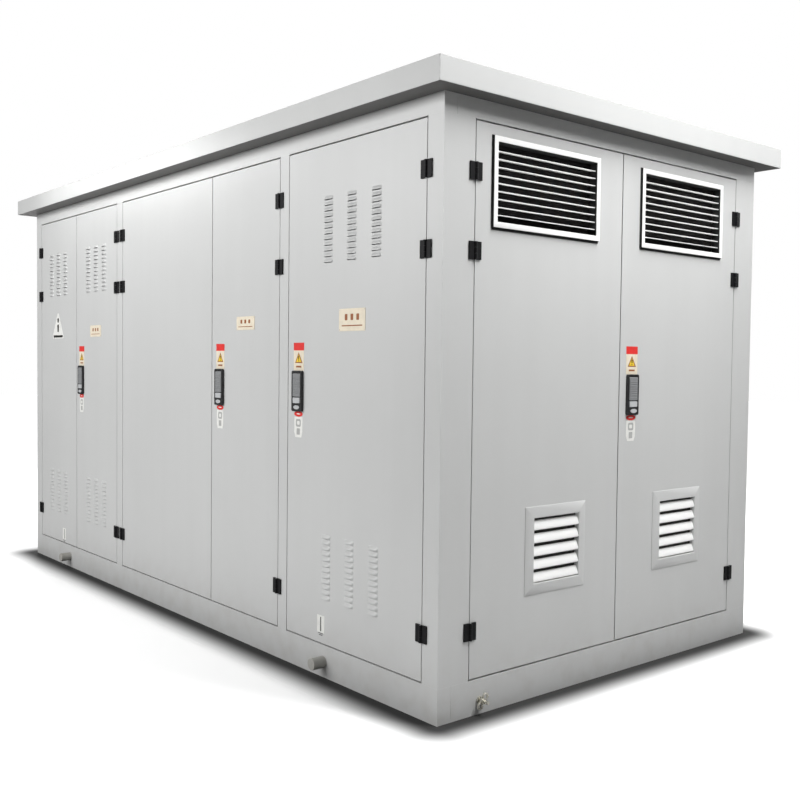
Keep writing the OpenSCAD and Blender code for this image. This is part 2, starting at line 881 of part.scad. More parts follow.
// Oil tank with cooling fins all round, standing on two skids
module transformer_tank() {
  side_fins = floor((tank_l - fin_margin) / fin_pitch);
  end_fins = floor((tank_w - fin_end_margin) / fin_pitch);
  fin_low = tank_z + (tank_h - fin_h) / 2;
  color("slategray") {
    difference() {
      translate([tr_x - tank_w / 2, -tank_l / 2, tank_z]) cube([tank_w, tank_l, tank_h]);
      translate([tr_x - tank_w / 2 + tank_wall, -tank_l / 2 + tank_wall, tank_z + tank_wall])
        cube([tank_w - 2 * tank_wall, tank_l - 2 * tank_wall, tank_h]);
    }
    for (side = [-1, 1], i = [0:side_fins - 1]) {
      y = (i - (side_fins - 1) / 2) * fin_pitch;
      x = side * (tank_w / 2 + fin_side / 2 - bite);
      translate([tr_x + x, y, fin_low + fin_h / 2]) cube([fin_side, fin_t, fin_h], center = true);
    }
    for (side = [-1, 1], i = [0:end_fins - 1]) {
      x = (i - (end_fins - 1) / 2) * fin_pitch;
      y = side * (tank_l / 2 + fin_end / 2 - bite);
      translate([tr_x + x, y, fin_low + fin_h / 2]) cube([fin_t, fin_end, fin_h], center = true);
    }
    for (side = [-1, 1])
      translate([tr_x + side * tank_w / 4 - skid_w / 2, -tank_l / 2, base_h + floor_t])
        cube([skid_w, tank_l, skid_h + bite]);
    difference() {
      translate([tr_x, 0, lid_z - flange_t])
        cube([tank_w + 2 * lid_rim, tank_l + 2 * lid_rim, 2 * flange_t], center = true);
      translate([tr_x, 0, lid_z])
        cube([tank_w - rim_in, tank_l - rim_in, 5 * flange_t], center = true);
    }
  }
}

module transformer_lid() {
  color("slategray") difference() {
    union() {
      translate([tr_x - tank_w / 2 - lid_rim, -tank_l / 2 - lid_rim, lid_z])
        cube([tank_w + 2 * lid_rim, tank_l + 2 * lid_rim, lid_t]);
      for (x = [-1, 1], y = [-1, 1])
        translate([
          tr_x + x * (tank_w / 2 - lug_inset[0]), y * (tank_l / 2 - lug_inset[1]), lid_z + lid_t - bite
        ])
          difference() {
            translate([-lug[0] / 2, -lug[1] / 2, 0]) cube(lug);
            translate([0, 0, lug_eye_z]) rotate([90, 0, 0])
              cylinder(h = 2 * lug[1], r = lug_eye_r, center = true);
          }
      translate([valve_x, valve_y, lid_z]) disc(filler);
      translate([valve_x, valve_y, lid_z + filler[1] - bite]) disc(filler_cap);
    }
    translate([knob_x, knob_y, lid_z - eps])
      cylinder(h = lid_t + 2 * eps, r = tap_shaft_r + running);
  }
}

// Three-leg core, its yokes above and below the windings
module transformer_core() {
  yoke_l = 2 * core_pitch + 2 * core_leg_r;
  low = tank_z + core_z;
  color("dimgray") {
    for (i = phases) translate([tr_x, i * core_pitch, low]) cylinder(h = core_leg_h, r = core_leg_r);
    for (z = [low, low + core_leg_h - yoke_h])
      translate([tr_x - yoke_w / 2, -yoke_l / 2, z]) cube([yoke_w, yoke_l, yoke_h]);
  }
}

module transformer_windings() {
  color("chocolate") for (i = phases) translate([tr_x, i * core_pitch, tank_z + winding_z]) difference() {
    cylinder(h = winding_h, r = winding_r);
    translate([0, 0, -bite]) cylinder(h = winding_h + 2 * bite, r = core_leg_r + winding_gap);
  }
}

// Insulator with sheds, on the tank lid
module insulator(height, body_r, shed_r, sheds) {
  pitch = (height - shed_margin) / (sheds + 1);
  root = body_r - bite;
  shed = [[root, 0], [shed_r, -shed_drop], [shed_r, shed_edge - shed_drop], [root, foot_h]];
  cylinder(h = foot_h, r = shed_r + foot_rim);
  cylinder(h = height - terminal_h, r = body_r);
  for (i = [1:sheds]) translate([0, 0, foot_h + i * pitch]) rotate_extrude() polygon(shed);
  cylinder(h = height, r = body_r * terminal_share);
}

module hv_bushings() {
  color("saddlebrown") for (i = phases)
    translate([hv_bushing_x, hv_line_y + i * hv_pitch, bushing_zero])
      insulator(hv_bushing_h, hv_insulator[0], hv_insulator[1], hv_insulator[2]);
}

module lv_bushings() {
  color("saddlebrown") for (i = poles)
    translate([lv_bushing_x, i * lv_pitch, bushing_zero])
      insulator(lv_bushing_h, lv_insulator[0], lv_insulator[1], lv_insulator[2]);
}

module tap_changer_knob() {
  color(black) translate([knob_x, knob_y, bushing_zero]) {
    translate([0, 0, knob_lift]) disc(tap_disc);
    translate([-tap_bar[0] / 2, -tap_bar[1] / 2, tap_bar_z]) cube(tap_bar);
    translate([0, 0, -shaft_in]) cylinder(h = shaft_in + knob_lift + bite, r = tap_shaft_r);
  }
}

// Ring-main switchgear: a cabinet with a raised front plate and two shaft holes
module hv_switchgear() {
  front = rmu_y;
  color("gainsboro") difference() {
    union() {
      translate([rmu_x - rmu_w / 2, front, rmu_z]) cube([rmu_w, rmu_d, rmu_h]);
      for (i = phases)
        translate([rmu_x + i * rmu_cover_pitch - rmu_cover[0] / 2, front - rmu_door_t, rmu_z + rmu_cover_z])
          cube([rmu_cover[0], rmu_door_t + bite, rmu_cover[1]]);
      translate([rmu_x - rmu_w / 2 + rmu_panel_in, front - rmu_door_t, rmu_z + rmu_panel_z])
        cube([rmu_w - 2 * rmu_panel_in, rmu_door_t + bite, rmu_panel_h]);
    }
    translate([rmu_x - rmu_w / 2 + sheet_t, front + sheet_t, rmu_z - eps])
      cube([rmu_w - 2 * sheet_t, rmu_d - 2 * sheet_t, rmu_h - sheet_t]);
    for (i = [-1, 1]) translate([rmu_x + i * rmu_knob_x, front - rmu_door_t - eps, rmu_knob_z])
      rotate([-90, 0, 0]) cylinder(h = switch_shaft_in, r = switch_shaft_r + running);
  }
}

module switch_knob(side) {
  grip_l = 2 * (knob_r - grip_in);
  color("red") translate([rmu_x + side * rmu_knob_x, rmu_y - rmu_door_t, rmu_knob_z])
    rotate([90, 0, 0]) {
      translate([0, 0, knob_lift]) cylinder(h = knob_t, r = knob_r);
      translate([-grip[0] / 2, -grip_l / 2, knob_t]) cube([grip[0], grip_l, grip[1]]);
      translate([0, 0, -switch_shaft_in])
        cylinder(h = switch_shaft_in + knob_lift + bite, r = switch_shaft_r);
    }
}

module hv_cable_knob() { switch_knob(-1); }
module hv_feed_knob() { switch_knob(1); }

// Quarter bend of a round cable in the x-z plane, from straight up to straight along +x
module cable_bend() {
  translate([bend_r, 0, 0]) rotate([90, 0, 0]) rotate([0, 0, 90])
    rotate_extrude(angle = 90) translate([bend_r, 0]) circle(cable_r);
}

// Cables from the switchgear's top, over through the wall and down to the bushings
module hv_cables() {
  end_x = hv_bushing_x;
  top = cable_z - bend_r;
  bushing_top = bushing_zero + hv_bushing_h;
  color("firebrick") for (i = phases) translate([0, hv_line_y + i * hv_pitch, 0]) {
    translate([cable_start_x, 0, cable_top_z]) cylinder(h = top - cable_top_z, r = cable_r);
    translate([cable_start_x, 0, top]) cable_bend();
    translate([cable_start_x + bend_r, 0, cable_z]) rotate([0, 90, 0])
      cylinder(h = end_x - cable_start_x - 2 * bend_r, r = cable_r);
    translate([end_x, 0, top]) mirror([1, 0, 0]) cable_bend();
    translate([end_x, 0, bushing_top]) cylinder(h = top - bushing_top, r = cable_r);
  }
}

// Low-voltage board: a cabinet shell open to the front, with a back plate for the devices
module lv_switchboard() {
  x1 = board_x + board_d;
  plate_x = board_x + board_plate;
  color("gainsboro") difference() {
    box_between([board_x, -board_w / 2, board_z], [x1, board_w / 2, board_z + board_h]);
    box_between([plate_x, -board_w / 2 + board_frame, board_z - eps],
                [x1 + eps, board_w / 2 - board_frame, board_z + board_h - board_frame]);
    box_between([board_x - eps, -board_w / 2 + sheet_t, board_z - eps],
                [plate_x - sheet_t, board_w / 2 - sheet_t, board_z + board_h - sheet_t]);
  }
}

module main_breaker() {
  x0 = board_x + board_plate;
  inset = breaker_face[0];
  front = x0 + breaker_d - bite + breaker_face[1];
  color("dimgray") difference() {
    union() {
      box_between([x0, -breaker_w / 2, breaker_z - breaker_h / 2],
                  [x0 + breaker_d, breaker_w / 2, breaker_z + breaker_h / 2]);
      box_between([x0 + breaker_d - bite, inset - breaker_w / 2, breaker_z - breaker_h / 2 + inset],
                  [front, breaker_w / 2 - inset, breaker_z + breaker_h / 2 - inset]);
    }
    translate([front - breaker_bore_in, 0, breaker_z]) rotate([0, 90, 0])
      cylinder(h = 2 * breaker_bore_in, r = breaker_shaft_r + running);
  }
}

module main_breaker_handle() {
  color(black) translate([board_x + breaker_knob_x, 0, breaker_z]) rotate([0, 90, 0]) {
    disc(breaker_knob);
    translate([-breaker_grip[0] / 2, -breaker_grip[1] / 2, breaker_grip_z]) cube(breaker_grip);
    translate([0, 0, -breaker_shaft_in]) cylinder(h = breaker_shaft_in + bite, r = breaker_shaft_r);
  }
}

module feeder_fuses() {
  x0 = board_x + board_plate;
  color("ivory") for (i = [0:fuse_count - 1])
    translate([x0, (i - (fuse_count - 1) / 2) * fuse_pitch - fuse_w / 2, fuse_z - fuse_h / 2]) {
      cube([fuse_d, fuse_w, fuse_h]);
      for (k = [0:carrier_count - 1])
        translate([fuse_d - bite, carrier[1], carrier_z + k * carrier_pitch])
          cube([carrier[0], fuse_w - 2 * carrier[1], carrier[2]]);
    }
}

// Flat bars from the low-voltage bushings through the wall to the board
module lv_busbars() {
  start_z = bushing_zero + lv_bushing_h;
  color("peru") for (i = poles) translate([0, i * lv_pitch, 0]) {
    translate([lv_bushing_x - bar_t / 2, -bar_w / 2, start_z]) cube([bar_t, bar_w, bar_z - start_z]);
    box_between([lv_bushing_x - bar_t / 2, -bar_w / 2, bar_z - bar_t],
                [board_x + board_plate - sheet_t, bar_w / 2, bar_z]);
  }
}

base_frame();
floor_plates();
frame_posts();
frame_headers();
rear_panels();
left_end_panel();
partition_walls();
roof_soffit();
roof_cover();
lifting_trunnions();
earth_stud();
frame_hinge_leaves();
hinge_pins();
door_seals();
door_a_panel();
door_b_panel();
door_c_panel();
door_d_panel();
door_e_panel();
door_f_panel();
door_g_panel();
door_a_hinge_leaves();
door_b_hinge_leaves();
door_c_hinge_leaves();
door_d_hinge_leaves();
door_e_hinge_leaves();
door_f_hinge_leaves();
door_g_hinge_leaves();
handle_b_plate();
handle_d_plate();
handle_e_plate();
handle_g_plate();
handle_b_lever();
handle_d_lever();
handle_e_lever();
handle_g_lever();
handle_b_button();
handle_d_button();
handle_e_button();
handle_g_button();
door_f_grille();
door_g_grille();
door_f_louvre_window();
door_g_louvre_window();
transformer_tank();
transformer_lid();
transformer_core();
transformer_windings();
hv_bushings();
lv_bushings();
tap_changer_knob();
hv_switchgear();
hv_cable_knob();
hv_feed_knob();
hv_cables();
lv_switchboard();
main_breaker();
main_breaker_handle();
feeder_fuses();
lv_busbars();
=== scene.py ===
"""The looks of the compact transformer substation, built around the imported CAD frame."""
import json
import math

import bmesh
import bpy
from mathutils import Matrix, Vector

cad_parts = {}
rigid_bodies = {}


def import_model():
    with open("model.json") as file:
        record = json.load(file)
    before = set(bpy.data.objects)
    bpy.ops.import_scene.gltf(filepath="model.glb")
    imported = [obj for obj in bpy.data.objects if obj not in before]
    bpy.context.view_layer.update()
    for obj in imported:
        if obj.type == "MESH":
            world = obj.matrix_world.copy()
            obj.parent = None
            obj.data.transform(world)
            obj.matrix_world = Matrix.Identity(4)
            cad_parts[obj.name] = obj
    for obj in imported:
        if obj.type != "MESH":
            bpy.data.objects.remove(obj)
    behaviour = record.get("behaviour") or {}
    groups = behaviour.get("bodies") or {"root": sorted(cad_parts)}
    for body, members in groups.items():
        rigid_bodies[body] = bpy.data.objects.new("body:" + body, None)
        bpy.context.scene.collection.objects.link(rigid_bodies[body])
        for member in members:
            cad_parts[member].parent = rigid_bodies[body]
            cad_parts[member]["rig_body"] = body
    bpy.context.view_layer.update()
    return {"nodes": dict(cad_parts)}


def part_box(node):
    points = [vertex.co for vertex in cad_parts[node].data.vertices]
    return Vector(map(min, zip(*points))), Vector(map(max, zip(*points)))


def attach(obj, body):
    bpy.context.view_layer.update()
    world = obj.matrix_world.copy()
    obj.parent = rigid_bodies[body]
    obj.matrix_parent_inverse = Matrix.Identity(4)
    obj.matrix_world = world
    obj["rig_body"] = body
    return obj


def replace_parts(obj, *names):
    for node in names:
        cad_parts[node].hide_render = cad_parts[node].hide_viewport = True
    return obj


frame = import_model()
MM = 0.001

# ---------------------------------------------------------------- the frame's own measures
HALF_L, HALF_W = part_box("frame_posts")[1][:2]

# Each face: its left end at ground level, the way right along it, and the way out
FACES = {
    "front": (Vector((-HALF_L, -HALF_W, 0)), Vector((1, 0, 0)), Vector((0, -1, 0))),
    "end": (Vector((HALF_L, -HALF_W, 0)), Vector((0, 1, 0)), Vector((1, 0, 0))),
    "rear": (Vector((HALF_L, HALF_W, 0)), Vector((-1, 0, 0)), Vector((0, 1, 0))),
    "left": (Vector((-HALF_L, HALF_W, 0)), Vector((0, -1, 0)), Vector((-1, 0, 0))),
}
UP = Vector((0, 0, 1))


def on_face(face, place, out=0.0):
    """Piece coordinates (right, up, out) at a place (right, height) on a face, in metres."""
    corner, right, outward = FACES[face]
    origin = corner + right * place[0] + UP * place[1] + outward * out
    return Matrix((
        (right.x, 0, outward.x, origin.x),
        (right.y, 0, outward.y, origin.y),
        (0, 1, 0, origin.z),
        (0, 0, 0, 1),
    ))


def span_on_face(face, node):
    """(left, right, low, high) of a CAD node along a face."""
    corner, right, _ = FACES[face]
    low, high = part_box(node)
    ends = sorted(((low - corner).dot(right), (high - corner).dot(right)))
    return ends[0], ends[1], low.z, high.z


# ---------------------------------------------------------------- materials
COAT_ROUGH = 0.25
EDGE_DOTS = (0.985, 0.90)  # round against flat normal, from no edge to a full edge
DUST = (0.34, 0.31, 0.27)
PALE_DUST = (0.42, 0.40, 0.36)
FLOOR_DIRT = (0.16, 0.145, 0.125)


class Paint:
    """A Principled material and short ways to feed it."""

    def __init__(self, name, color, rough, metallic=0.0, coat=0.0):
        self.mat = bpy.data.materials.new(name)
        self.mat.use_nodes = True
        self.tree = self.mat.node_tree
        self.bsdf = self.tree.nodes["Principled BSDF"]
        self.bsdf.inputs["Metallic"].default_value = metallic
        self.bsdf.inputs["Coat Weight"].default_value = coat
        self.bsdf.inputs["Coat Roughness"].default_value = COAT_ROUGH
        self.color = self.rgb(color)
        self.rough = rough
        self.coords = self.node("ShaderNodeTexCoord").outputs["Object"]
        self.height = None

    def node(self, kind, **props):
        made = self.tree.nodes.new(kind)
        for key, value in props.items():
            setattr(made, key, value)
        return made

    def link(self, a, b):
        self.tree.links.new(a, b)

    def rgb(self, color):
        made = self.node("ShaderNodeRGB")
        made.outputs[0].default_value = (*color, 1)
        return made.outputs[0]

    def noise(self, scale, detail=3.0, stretch=(1, 1, 1)):
        mapping = self.node("ShaderNodeMapping")
        mapping.inputs["Scale"].default_value = stretch
        self.link(self.coords, mapping.inputs["Vector"])
        made = self.node("ShaderNodeTexNoise")
        made.inputs["Scale"].default_value = scale
        made.inputs["Detail"].default_value = detail
        self.link(mapping.outputs[0], made.inputs["Vector"])
        return made.outputs["Fac"]

    def spread(self, value, low, high, to_low=0.0, to_high=1.0):
        """Maps low..high onto to_low..to_high, held at the ends."""
        made = self.node("ShaderNodeMapRange")
        for socket, number in zip(range(1, 5), (low, high, to_low, to_high)):
            made.inputs[socket].default_value = number
        self.link(value, made.inputs[0])
        return made.outputs[0]

    def mix(self, fac, other):
        """Mixes the colour towards another by a mask."""
        made = self.node("ShaderNodeMix", data_type="RGBA")
        self.link(fac, made.inputs["Factor"])
        self.link(self.color, made.inputs[6])
        made.inputs[7].default_value = (*other, 1)
        self.color = made.outputs[2]

    def shade(self, fac):
        """Multiplies the colour by a number near one."""
        made = self.node("ShaderNodeMix", data_type="RGBA", blend_type="MULTIPLY")
        made.inputs["Factor"].default_value = 1.0
        self.link(self.color, made.inputs[6])
        self.link(fac, made.inputs[7])
        self.color = made.outputs[2]

    def roughen(self, fac, amount):
        made = self.spread(fac, 0.0, 1.0, self.rough - amount, self.rough + amount)
        self.link(made, self.bsdf.inputs["Roughness"])

    def bump(self, fac, strength, distance):
        made = self.node("ShaderNodeBump")
        made.inputs["Strength"].default_value = strength
        made.inputs["Distance"].default_value = distance
        self.link(fac, made.inputs["Height"])
        if self.height is not None:
            self.link(self.height, made.inputs["Normal"])
        self.height = made.outputs[0]

    def edges(self, radius):
        """A mask that is one on outer edges, from the angle between the round and the flat normal."""
        bevel = self.node("ShaderNodeBevel", samples=4)
        bevel.inputs["Radius"].default_value = radius
        flat = self.node("ShaderNodeNewGeometry")
        dot = self.node("ShaderNodeVectorMath", operation="DOT_PRODUCT")
        self.link(bevel.outputs[0], dot.inputs[0])
        self.link(flat.outputs["Normal"], dot.inputs[1])
        return self.spread(dot.outputs["Value"], *EDGE_DOTS)

    def up_facing(self):
        flat = self.node("ShaderNodeNewGeometry")
        split = self.node("ShaderNodeSeparateXYZ")
        self.link(flat.outputs["Normal"], split.inputs[0])
        return self.spread(split.outputs["Z"], 0.4, 1.0)

    def low_down(self, top):
        split = self.node("ShaderNodeSeparateXYZ")
        self.link(self.coords, split.inputs[0])
        return self.spread(split.outputs["Z"], top, 0.0)

    def times(self, a, b):
        made = self.node("ShaderNodeMath", operation="MULTIPLY")
        self.link(a, made.inputs[0])
        if isinstance(b, float):
            made.inputs[1].default_value = b
        else:
            self.link(b, made.inputs[1])
        return made.outputs[0]

    def done(self):
        self.link(self.color, self.bsdf.inputs["Base Color"])
        if self.height is not None:
            self.link(self.height, self.bsdf.inputs["Normal"])
        if not self.bsdf.inputs["Roughness"].is_linked:
            self.bsdf.inputs["Roughness"].default_value = self.rough
        return self.mat


def paler(color, gain, lift):
    """The colour where paint or plastic is rubbed."""
    return tuple(min(1.0, c * gain + lift) for c in color)


def powder_coat(name, color, rough=0.42, grime=0.25, wear=0.25):
    """Sprayed and baked paint on sheet steel: orange peel, faint sheet waves, dust low down."""
    p = Paint(name, color, rough, coat=0.08)
    cloud = p.noise(1.1, 4.0)
    p.shade(p.spread(cloud, 0.3, 0.7, 0.975, 1.02))
    streaks = p.noise(9.0, 4.0, stretch=(1, 1, 0.06))
    p.shade(p.spread(streaks, 0.35, 0.75, 1.008, 0.985))
    dirt = p.spread(p.noise(14.0, 6.0), 0.42, 0.75)
    low = p.times(p.low_down(0.28), dirt)
    p.mix(p.times(low, grime), DUST)
    p.mix(p.times(p.times(p.up_facing(), dirt), grime * 0.8), PALE_DUST)
    p.mix(p.times(p.edges(0.0025), wear), paler(color, 1.25, 0.05))
    peel = p.noise(420.0, 2.0)
    p.roughen(p.noise(60.0, 3.0), 0.06)
    p.bump(p.noise(1.7, 1.0), 0.05, 0.02)
    p.bump(peel, 0.12, 0.0006)
    return p.done()


def cast_black(name, color):
    """Blackened casting: dull, a little worn on its edges and dusty in patches."""
    p = Paint(name, color, 0.55)
    p.bsdf.inputs["Specular IOR Level"].default_value = 0.18
    p.mix(p.times(p.edges(0.0012), 0.2), (0.07, 0.07, 0.07))
    p.mix(p.times(p.spread(p.noise(90.0, 5.0), 0.5, 0.8), 0.15), (0.03, 0.029, 0.027))
    p.roughen(p.noise(220.0, 3.0), 0.1)
    p.bump(p.noise(900.0, 2.0), 0.25, 0.0003)
    return p.done()


def moulded(name, color, rough=0.5, grain=700.0):
    """Moulded plastic with a fine spark-eroded grain and rubbed edges."""
    p = Paint(name, color, rough)
    p.shade(p.spread(p.noise(30.0, 3.0), 0.3, 0.7, 0.96, 1.03))
    p.mix(p.times(p.edges(0.0012), 0.3), paler(color, 1.5, 0.04))
    p.roughen(p.noise(150.0, 3.0), 0.08)
    p.bump(p.noise(grain, 2.0), 0.2, 0.0003)
    return p.done()


def metal(name, color, rough=0.3, brushed=(1, 1, 1)):
    """Bare metal with cloudy tarnish, brighter edges and fine scratches."""
    p = Paint(name, color, rough, metallic=1.0)
    p.shade(p.spread(p.noise(24.0, 5.0), 0.3, 0.75, 0.82, 1.06))
    p.mix(p.times(p.edges(0.001), 0.3), paler(color, 1.3, 0.05))
    p.roughen(p.noise(130.0, 4.0, stretch=brushed), 0.14)
    p.bump(p.noise(520.0, 3.0, stretch=brushed), 0.2, 0.0003)
    return p.done()


def glaze(name, color):
    """Glazed ceramic: glossy, with its colour pooling unevenly."""
    p = Paint(name, color, 0.12, coat=0.6)
    p.shade(p.spread(p.noise(18.0, 5.0), 0.3, 0.75, 0.75, 1.2))
    p.bump(p.noise(60.0, 2.0), 0.05, 0.001)
    return p.done()


def chequer(name, color):
    """Painted floor plate, its raised pattern in bars that cross."""
    p = Paint(name, color, 0.5)
    for turn in (45, -45):
        mapping = p.node("ShaderNodeMapping")
        mapping.inputs["Rotation"].default_value = (0, 0, math.radians(turn))
        mapping.inputs["Scale"].default_value = (1.0, 0.35, 1.0)
        p.link(p.coords, mapping.inputs["Vector"])
        bars = p.node("ShaderNodeTexVoronoi")
        bars.inputs["Scale"].default_value = 45.0
        bars.inputs["Randomness"].default_value = 0.0
        p.link(mapping.outputs[0], bars.inputs["Vector"])
        p.bump(p.spread(bars.outputs["Distance"], 0.30, 0.18), 0.5, 0.002)
    p.mix(p.spread(p.noise(8.0, 6.0), 0.45, 0.8, 0.0, 0.5), FLOOR_DIRT)
    p.roughen(p.noise(40.0), 0.12)
    return p.done()


def printed(name, color):
    """Ink or foil on a label: faint fade and a soft gloss."""
    p = Paint(name, color, 0.35)
    p.shade(p.spread(p.noise(45.0, 4.0), 0.3, 0.7, 0.93, 1.04))
    p.roughen(p.noise(200.0, 3.0), 0.07)
    p.bump(p.noise(600.0, 2.0), 0.1, 0.0002)
    return p.done()


# Slot, kind, colour and what differs from the kind's own settings
MATERIALS = {slot: kind(slot, color, **(more[0] if more else {})) for slot, kind, color, *more in (
    ("housing_paint", powder_coat, (0.55, 0.555, 0.55)),
    ("roof_paint", powder_coat, (0.50, 0.505, 0.50), dict(rough=0.45)),
    # Painted shade: the soffit is coloured near black to stand in for the shade under the roof's overhang
    ("soffit_paint", powder_coat, (0.10, 0.098, 0.095), dict(rough=0.6, grime=0.1)),
    ("floor_steel", chequer, (0.10, 0.105, 0.11)),
    ("inner_sheet", metal, (0.55, 0.56, 0.57), dict(rough=0.45)),
    ("hinge_black", cast_black, (0.006, 0.006, 0.007)),
    ("pin_steel", metal, (0.55, 0.55, 0.56)),
    ("seal_rubber", moulded, (0.012, 0.012, 0.012), dict(rough=0.8, grain=300.0)),
    ("handle_black", moulded, (0.013, 0.013, 0.014), dict(rough=0.42)),
    ("lever_grey", powder_coat, (0.22, 0.225, 0.23), dict(rough=0.4, grime=0.1)),
    ("button_grey", moulded, (0.48, 0.49, 0.50), dict(rough=0.35)),
    ("grille_white", powder_coat, (0.88, 0.88, 0.87), dict(rough=0.4)),
    ("trunnion_paint", powder_coat, (0.36, 0.355, 0.33), dict(rough=0.5, grime=0.5, wear=0.7)),
    ("earth_metal", metal, (0.72, 0.70, 0.62), dict(rough=0.28)),
    ("tank_paint", powder_coat, (0.16, 0.19, 0.21), dict(rough=0.35, grime=0.15)),
    ("core_steel", metal, (0.30, 0.30, 0.32), dict(rough=0.5)),
    ("winding_copper", metal, (0.60, 0.28, 0.14), dict(rough=0.4)),
    ("porcelain", glaze, (0.13, 0.045, 0.02)),
    ("knob_black", moulded, (0.014, 0.014, 0.014)),
    ("knob_red", moulded, (0.50, 0.02, 0.015), dict(rough=0.3)),
    ("cabinet_paint", powder_coat, (0.56, 0.57, 0.56), dict(grime=0.1)),
    ("cable_red", moulded, (0.28, 0.025, 0.02), dict(rough=0.45, grain=200.0)),
    ("breaker_grey", moulded, (0.055, 0.058, 0.065)),
    ("fuse_ivory", moulded, (0.58, 0.53, 0.42)),
    ("busbar_copper", metal, (0.75, 0.36, 0.19), dict(rough=0.28, brushed=(0.1, 1, 1))),
)}
INK = {
    "cream": printed("label_cream", (0.78, 0.70, 0.56)),
    "white": printed("label_white", (0.80, 0.80, 0.77)),
    "red": printed("label_red", (0.72, 0.035, 0.03)),
    "yellow": printed("label_yellow", (0.80, 0.55, 0.04)),
    "black": printed("label_black", (0.015, 0.014, 0.012)),
    "brown": printed("label_brown", (0.30, 0.10, 0.03)),
    "grey": printed("label_grey", (0.42, 0.42, 0.41)),
    "mesh": moulded("filter_mesh", (0.05, 0.047, 0.044), rough=0.9, grain=120.0),
    # The grilles' filter is near black, partly painted shade standing in for the dark inside the housing
    "filter": moulded("filter_and_painted_shade", (0.008, 0.007, 0.007), rough=0.95, grain=120.0),
}

# ---------------------------------------------------------------- mesh helpers
SHARP = math.radians(35)
FLAT = math.radians(1.0)
WELD = 0.02 * MM


def finish_piece(name, bm, body, slot, bevel=None, segments=2, material=None):
    """Turns a bmesh in the frame's coordinates into a piece that rides on a body."""
    bmesh.ops.recalc_face_normals(bm, faces=bm.faces[:])
    mesh = bpy.data.meshes.new(name)
    bm.to_mesh(mesh)
    bm.free()
    mesh.materials.append(material or MATERIALS[slot])
    piece = bpy.data.objects.new(name, mesh)
    bpy.context.scene.collection.objects.link(piece)
    if bevel:
        rounding = piece.modifiers.new("edge", "BEVEL")
        rounding.width = bevel
        rounding.segments = segments
        rounding.limit_method = "ANGLE"
        rounding.angle_limit = SHARP
        rounding.use_clamp_overlap = True
        rounding.harden_normals = True
    mesh.shade_smooth()
    if not bevel:
        mesh.set_sharp_from_angle(angle=SHARP)
    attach(piece, body)
    return piece


# Nodes with a face that runs round a hole, which dissolving would close
RINGED = ("roof_cover",)


def welded(bm, mesh):
    """Fills a bmesh from a mesh and joins its doubled corners."""
    bm.from_mesh(mesh)
    bmesh.ops.remove_doubles(bm, verts=bm.verts[:], dist=WELD)


def area_of(bm):
    return round(sum(f.calc_area() for f in bm.faces), 4)


def refined(node, slot, bevel=0.8 * MM):
    """A CAD node as a clean mesh with rounded edges, or with its triangles kept where cleaning changes it."""
    source = frame["nodes"][node]
    bare = source.data.copy()
    if "custom_normal" in bare.attributes:
        bare.attributes.remove(bare.attributes["custom_normal"])
    bm = bmesh.new()
    welded(bm, bare)
    before = area_of(bm)
    bmesh.ops.dissolve_limit(bm, angle_limit=FLAT, verts=bm.verts[:], edges=bm.edges[:])
    probe = bm.copy()
    bmesh.ops.triangulate(probe, faces=probe.faces[:])
    after = area_of(probe)
    probe.free()
    if after != before or node in RINGED:
        bm.clear()
        welded(bm, bare)
    bpy.data.meshes.remove(bare)
    piece = finish_piece(node + ".skin", bm, source["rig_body"], slot, bevel)
    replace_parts(piece, node)


def prism(bm, place, outline, low, high):
    """Adds an outline (right, up) stood out from low to high."""
    rings = [[bm.verts.new(place @ Vector((u, v, w))) for u, v in outline] for w in (low, high)]
    count = len(outline)
    bm.faces.new(rings[0][::-1])
    bm.faces.new(rings[1])
    for i in range(count):
        j = (i + 1) % count
        bm.faces.new((rings[0][i], rings[0][j], rings[1][j], rings[1][i]))


def rect(x, y, w, h):
    """Outline of a rectangle about (x, y)."""
    return [(x - w / 2, y - h / 2), (x + w / 2, y - h / 2), (x + w / 2, y + h / 2), (x - w / 2, y + h / 2)]


def round_rect(x, y, w, h, r, steps=5):
    points = []
    for k, (sx, sy) in enumerate(((1, 1), (-1, 1), (-1, -1), (1, -1))):
        for i in range(steps + 1):
            turn = math.pi / 2 * (k + i / steps)
            points.append((x + sx * (w / 2 - r) + r * math.cos(turn),
                           y + sy * (h / 2 - r) + r * math.sin(turn)))
    return points


def ellipse(x, y, w, h, steps=28):
    return [(x + w / 2 * math.cos(2 * math.pi * i / steps), y + h / 2 * math.sin(2 * math.pi * i / steps))
            for i in range(steps)]


def ring_of(bm, place, outer, inner, low, high):
    """Adds a closed band between two outlines with as many points."""
    count = len(outer)
    levels = []
    for w in (low, high):
        levels.append([[bm.verts.new(place @ Vector((u, v, w))) for u, v in line] for line in (outer, inner)])
    for i in range(count):
        j = (i + 1) % count
        (lo_out, lo_in), (hi_out, hi_in) = levels
        bm.faces.new((hi_out[i], hi_out[j], hi_in[j], hi_in[i]))
        bm.faces.new((lo_out[j], lo_out[i], lo_in[i], lo_in[j]))
        bm.faces.new((lo_out[i], lo_out[j], hi_out[j], hi_out[i]))
        bm.faces.new((lo_in[j], lo_in[i], hi_in[i], hi_in[j]))


def decal(name, place, outlines, body, ink, layer):
    """One thin piece of print from several outlines, layer (low, high) out of the face."""
    bm = bmesh.new()
    for outline in outlines:
        prism(bm, place, outline, *layer)
    finish_piece(name, bm, body, "label_print", material=INK[ink])


def screw(bm, place, x, y, out, r, rise):
    """Adds a round head with a stepped top."""
    prism(bm, place, ellipse(x, y, 2 * r, 2 * r, 16), out, out + rise * 0.6)
    prism(bm, place, ellipse(x, y, 1.5 * r, 1.5 * r, 16), out + rise * 0.6, out + rise)


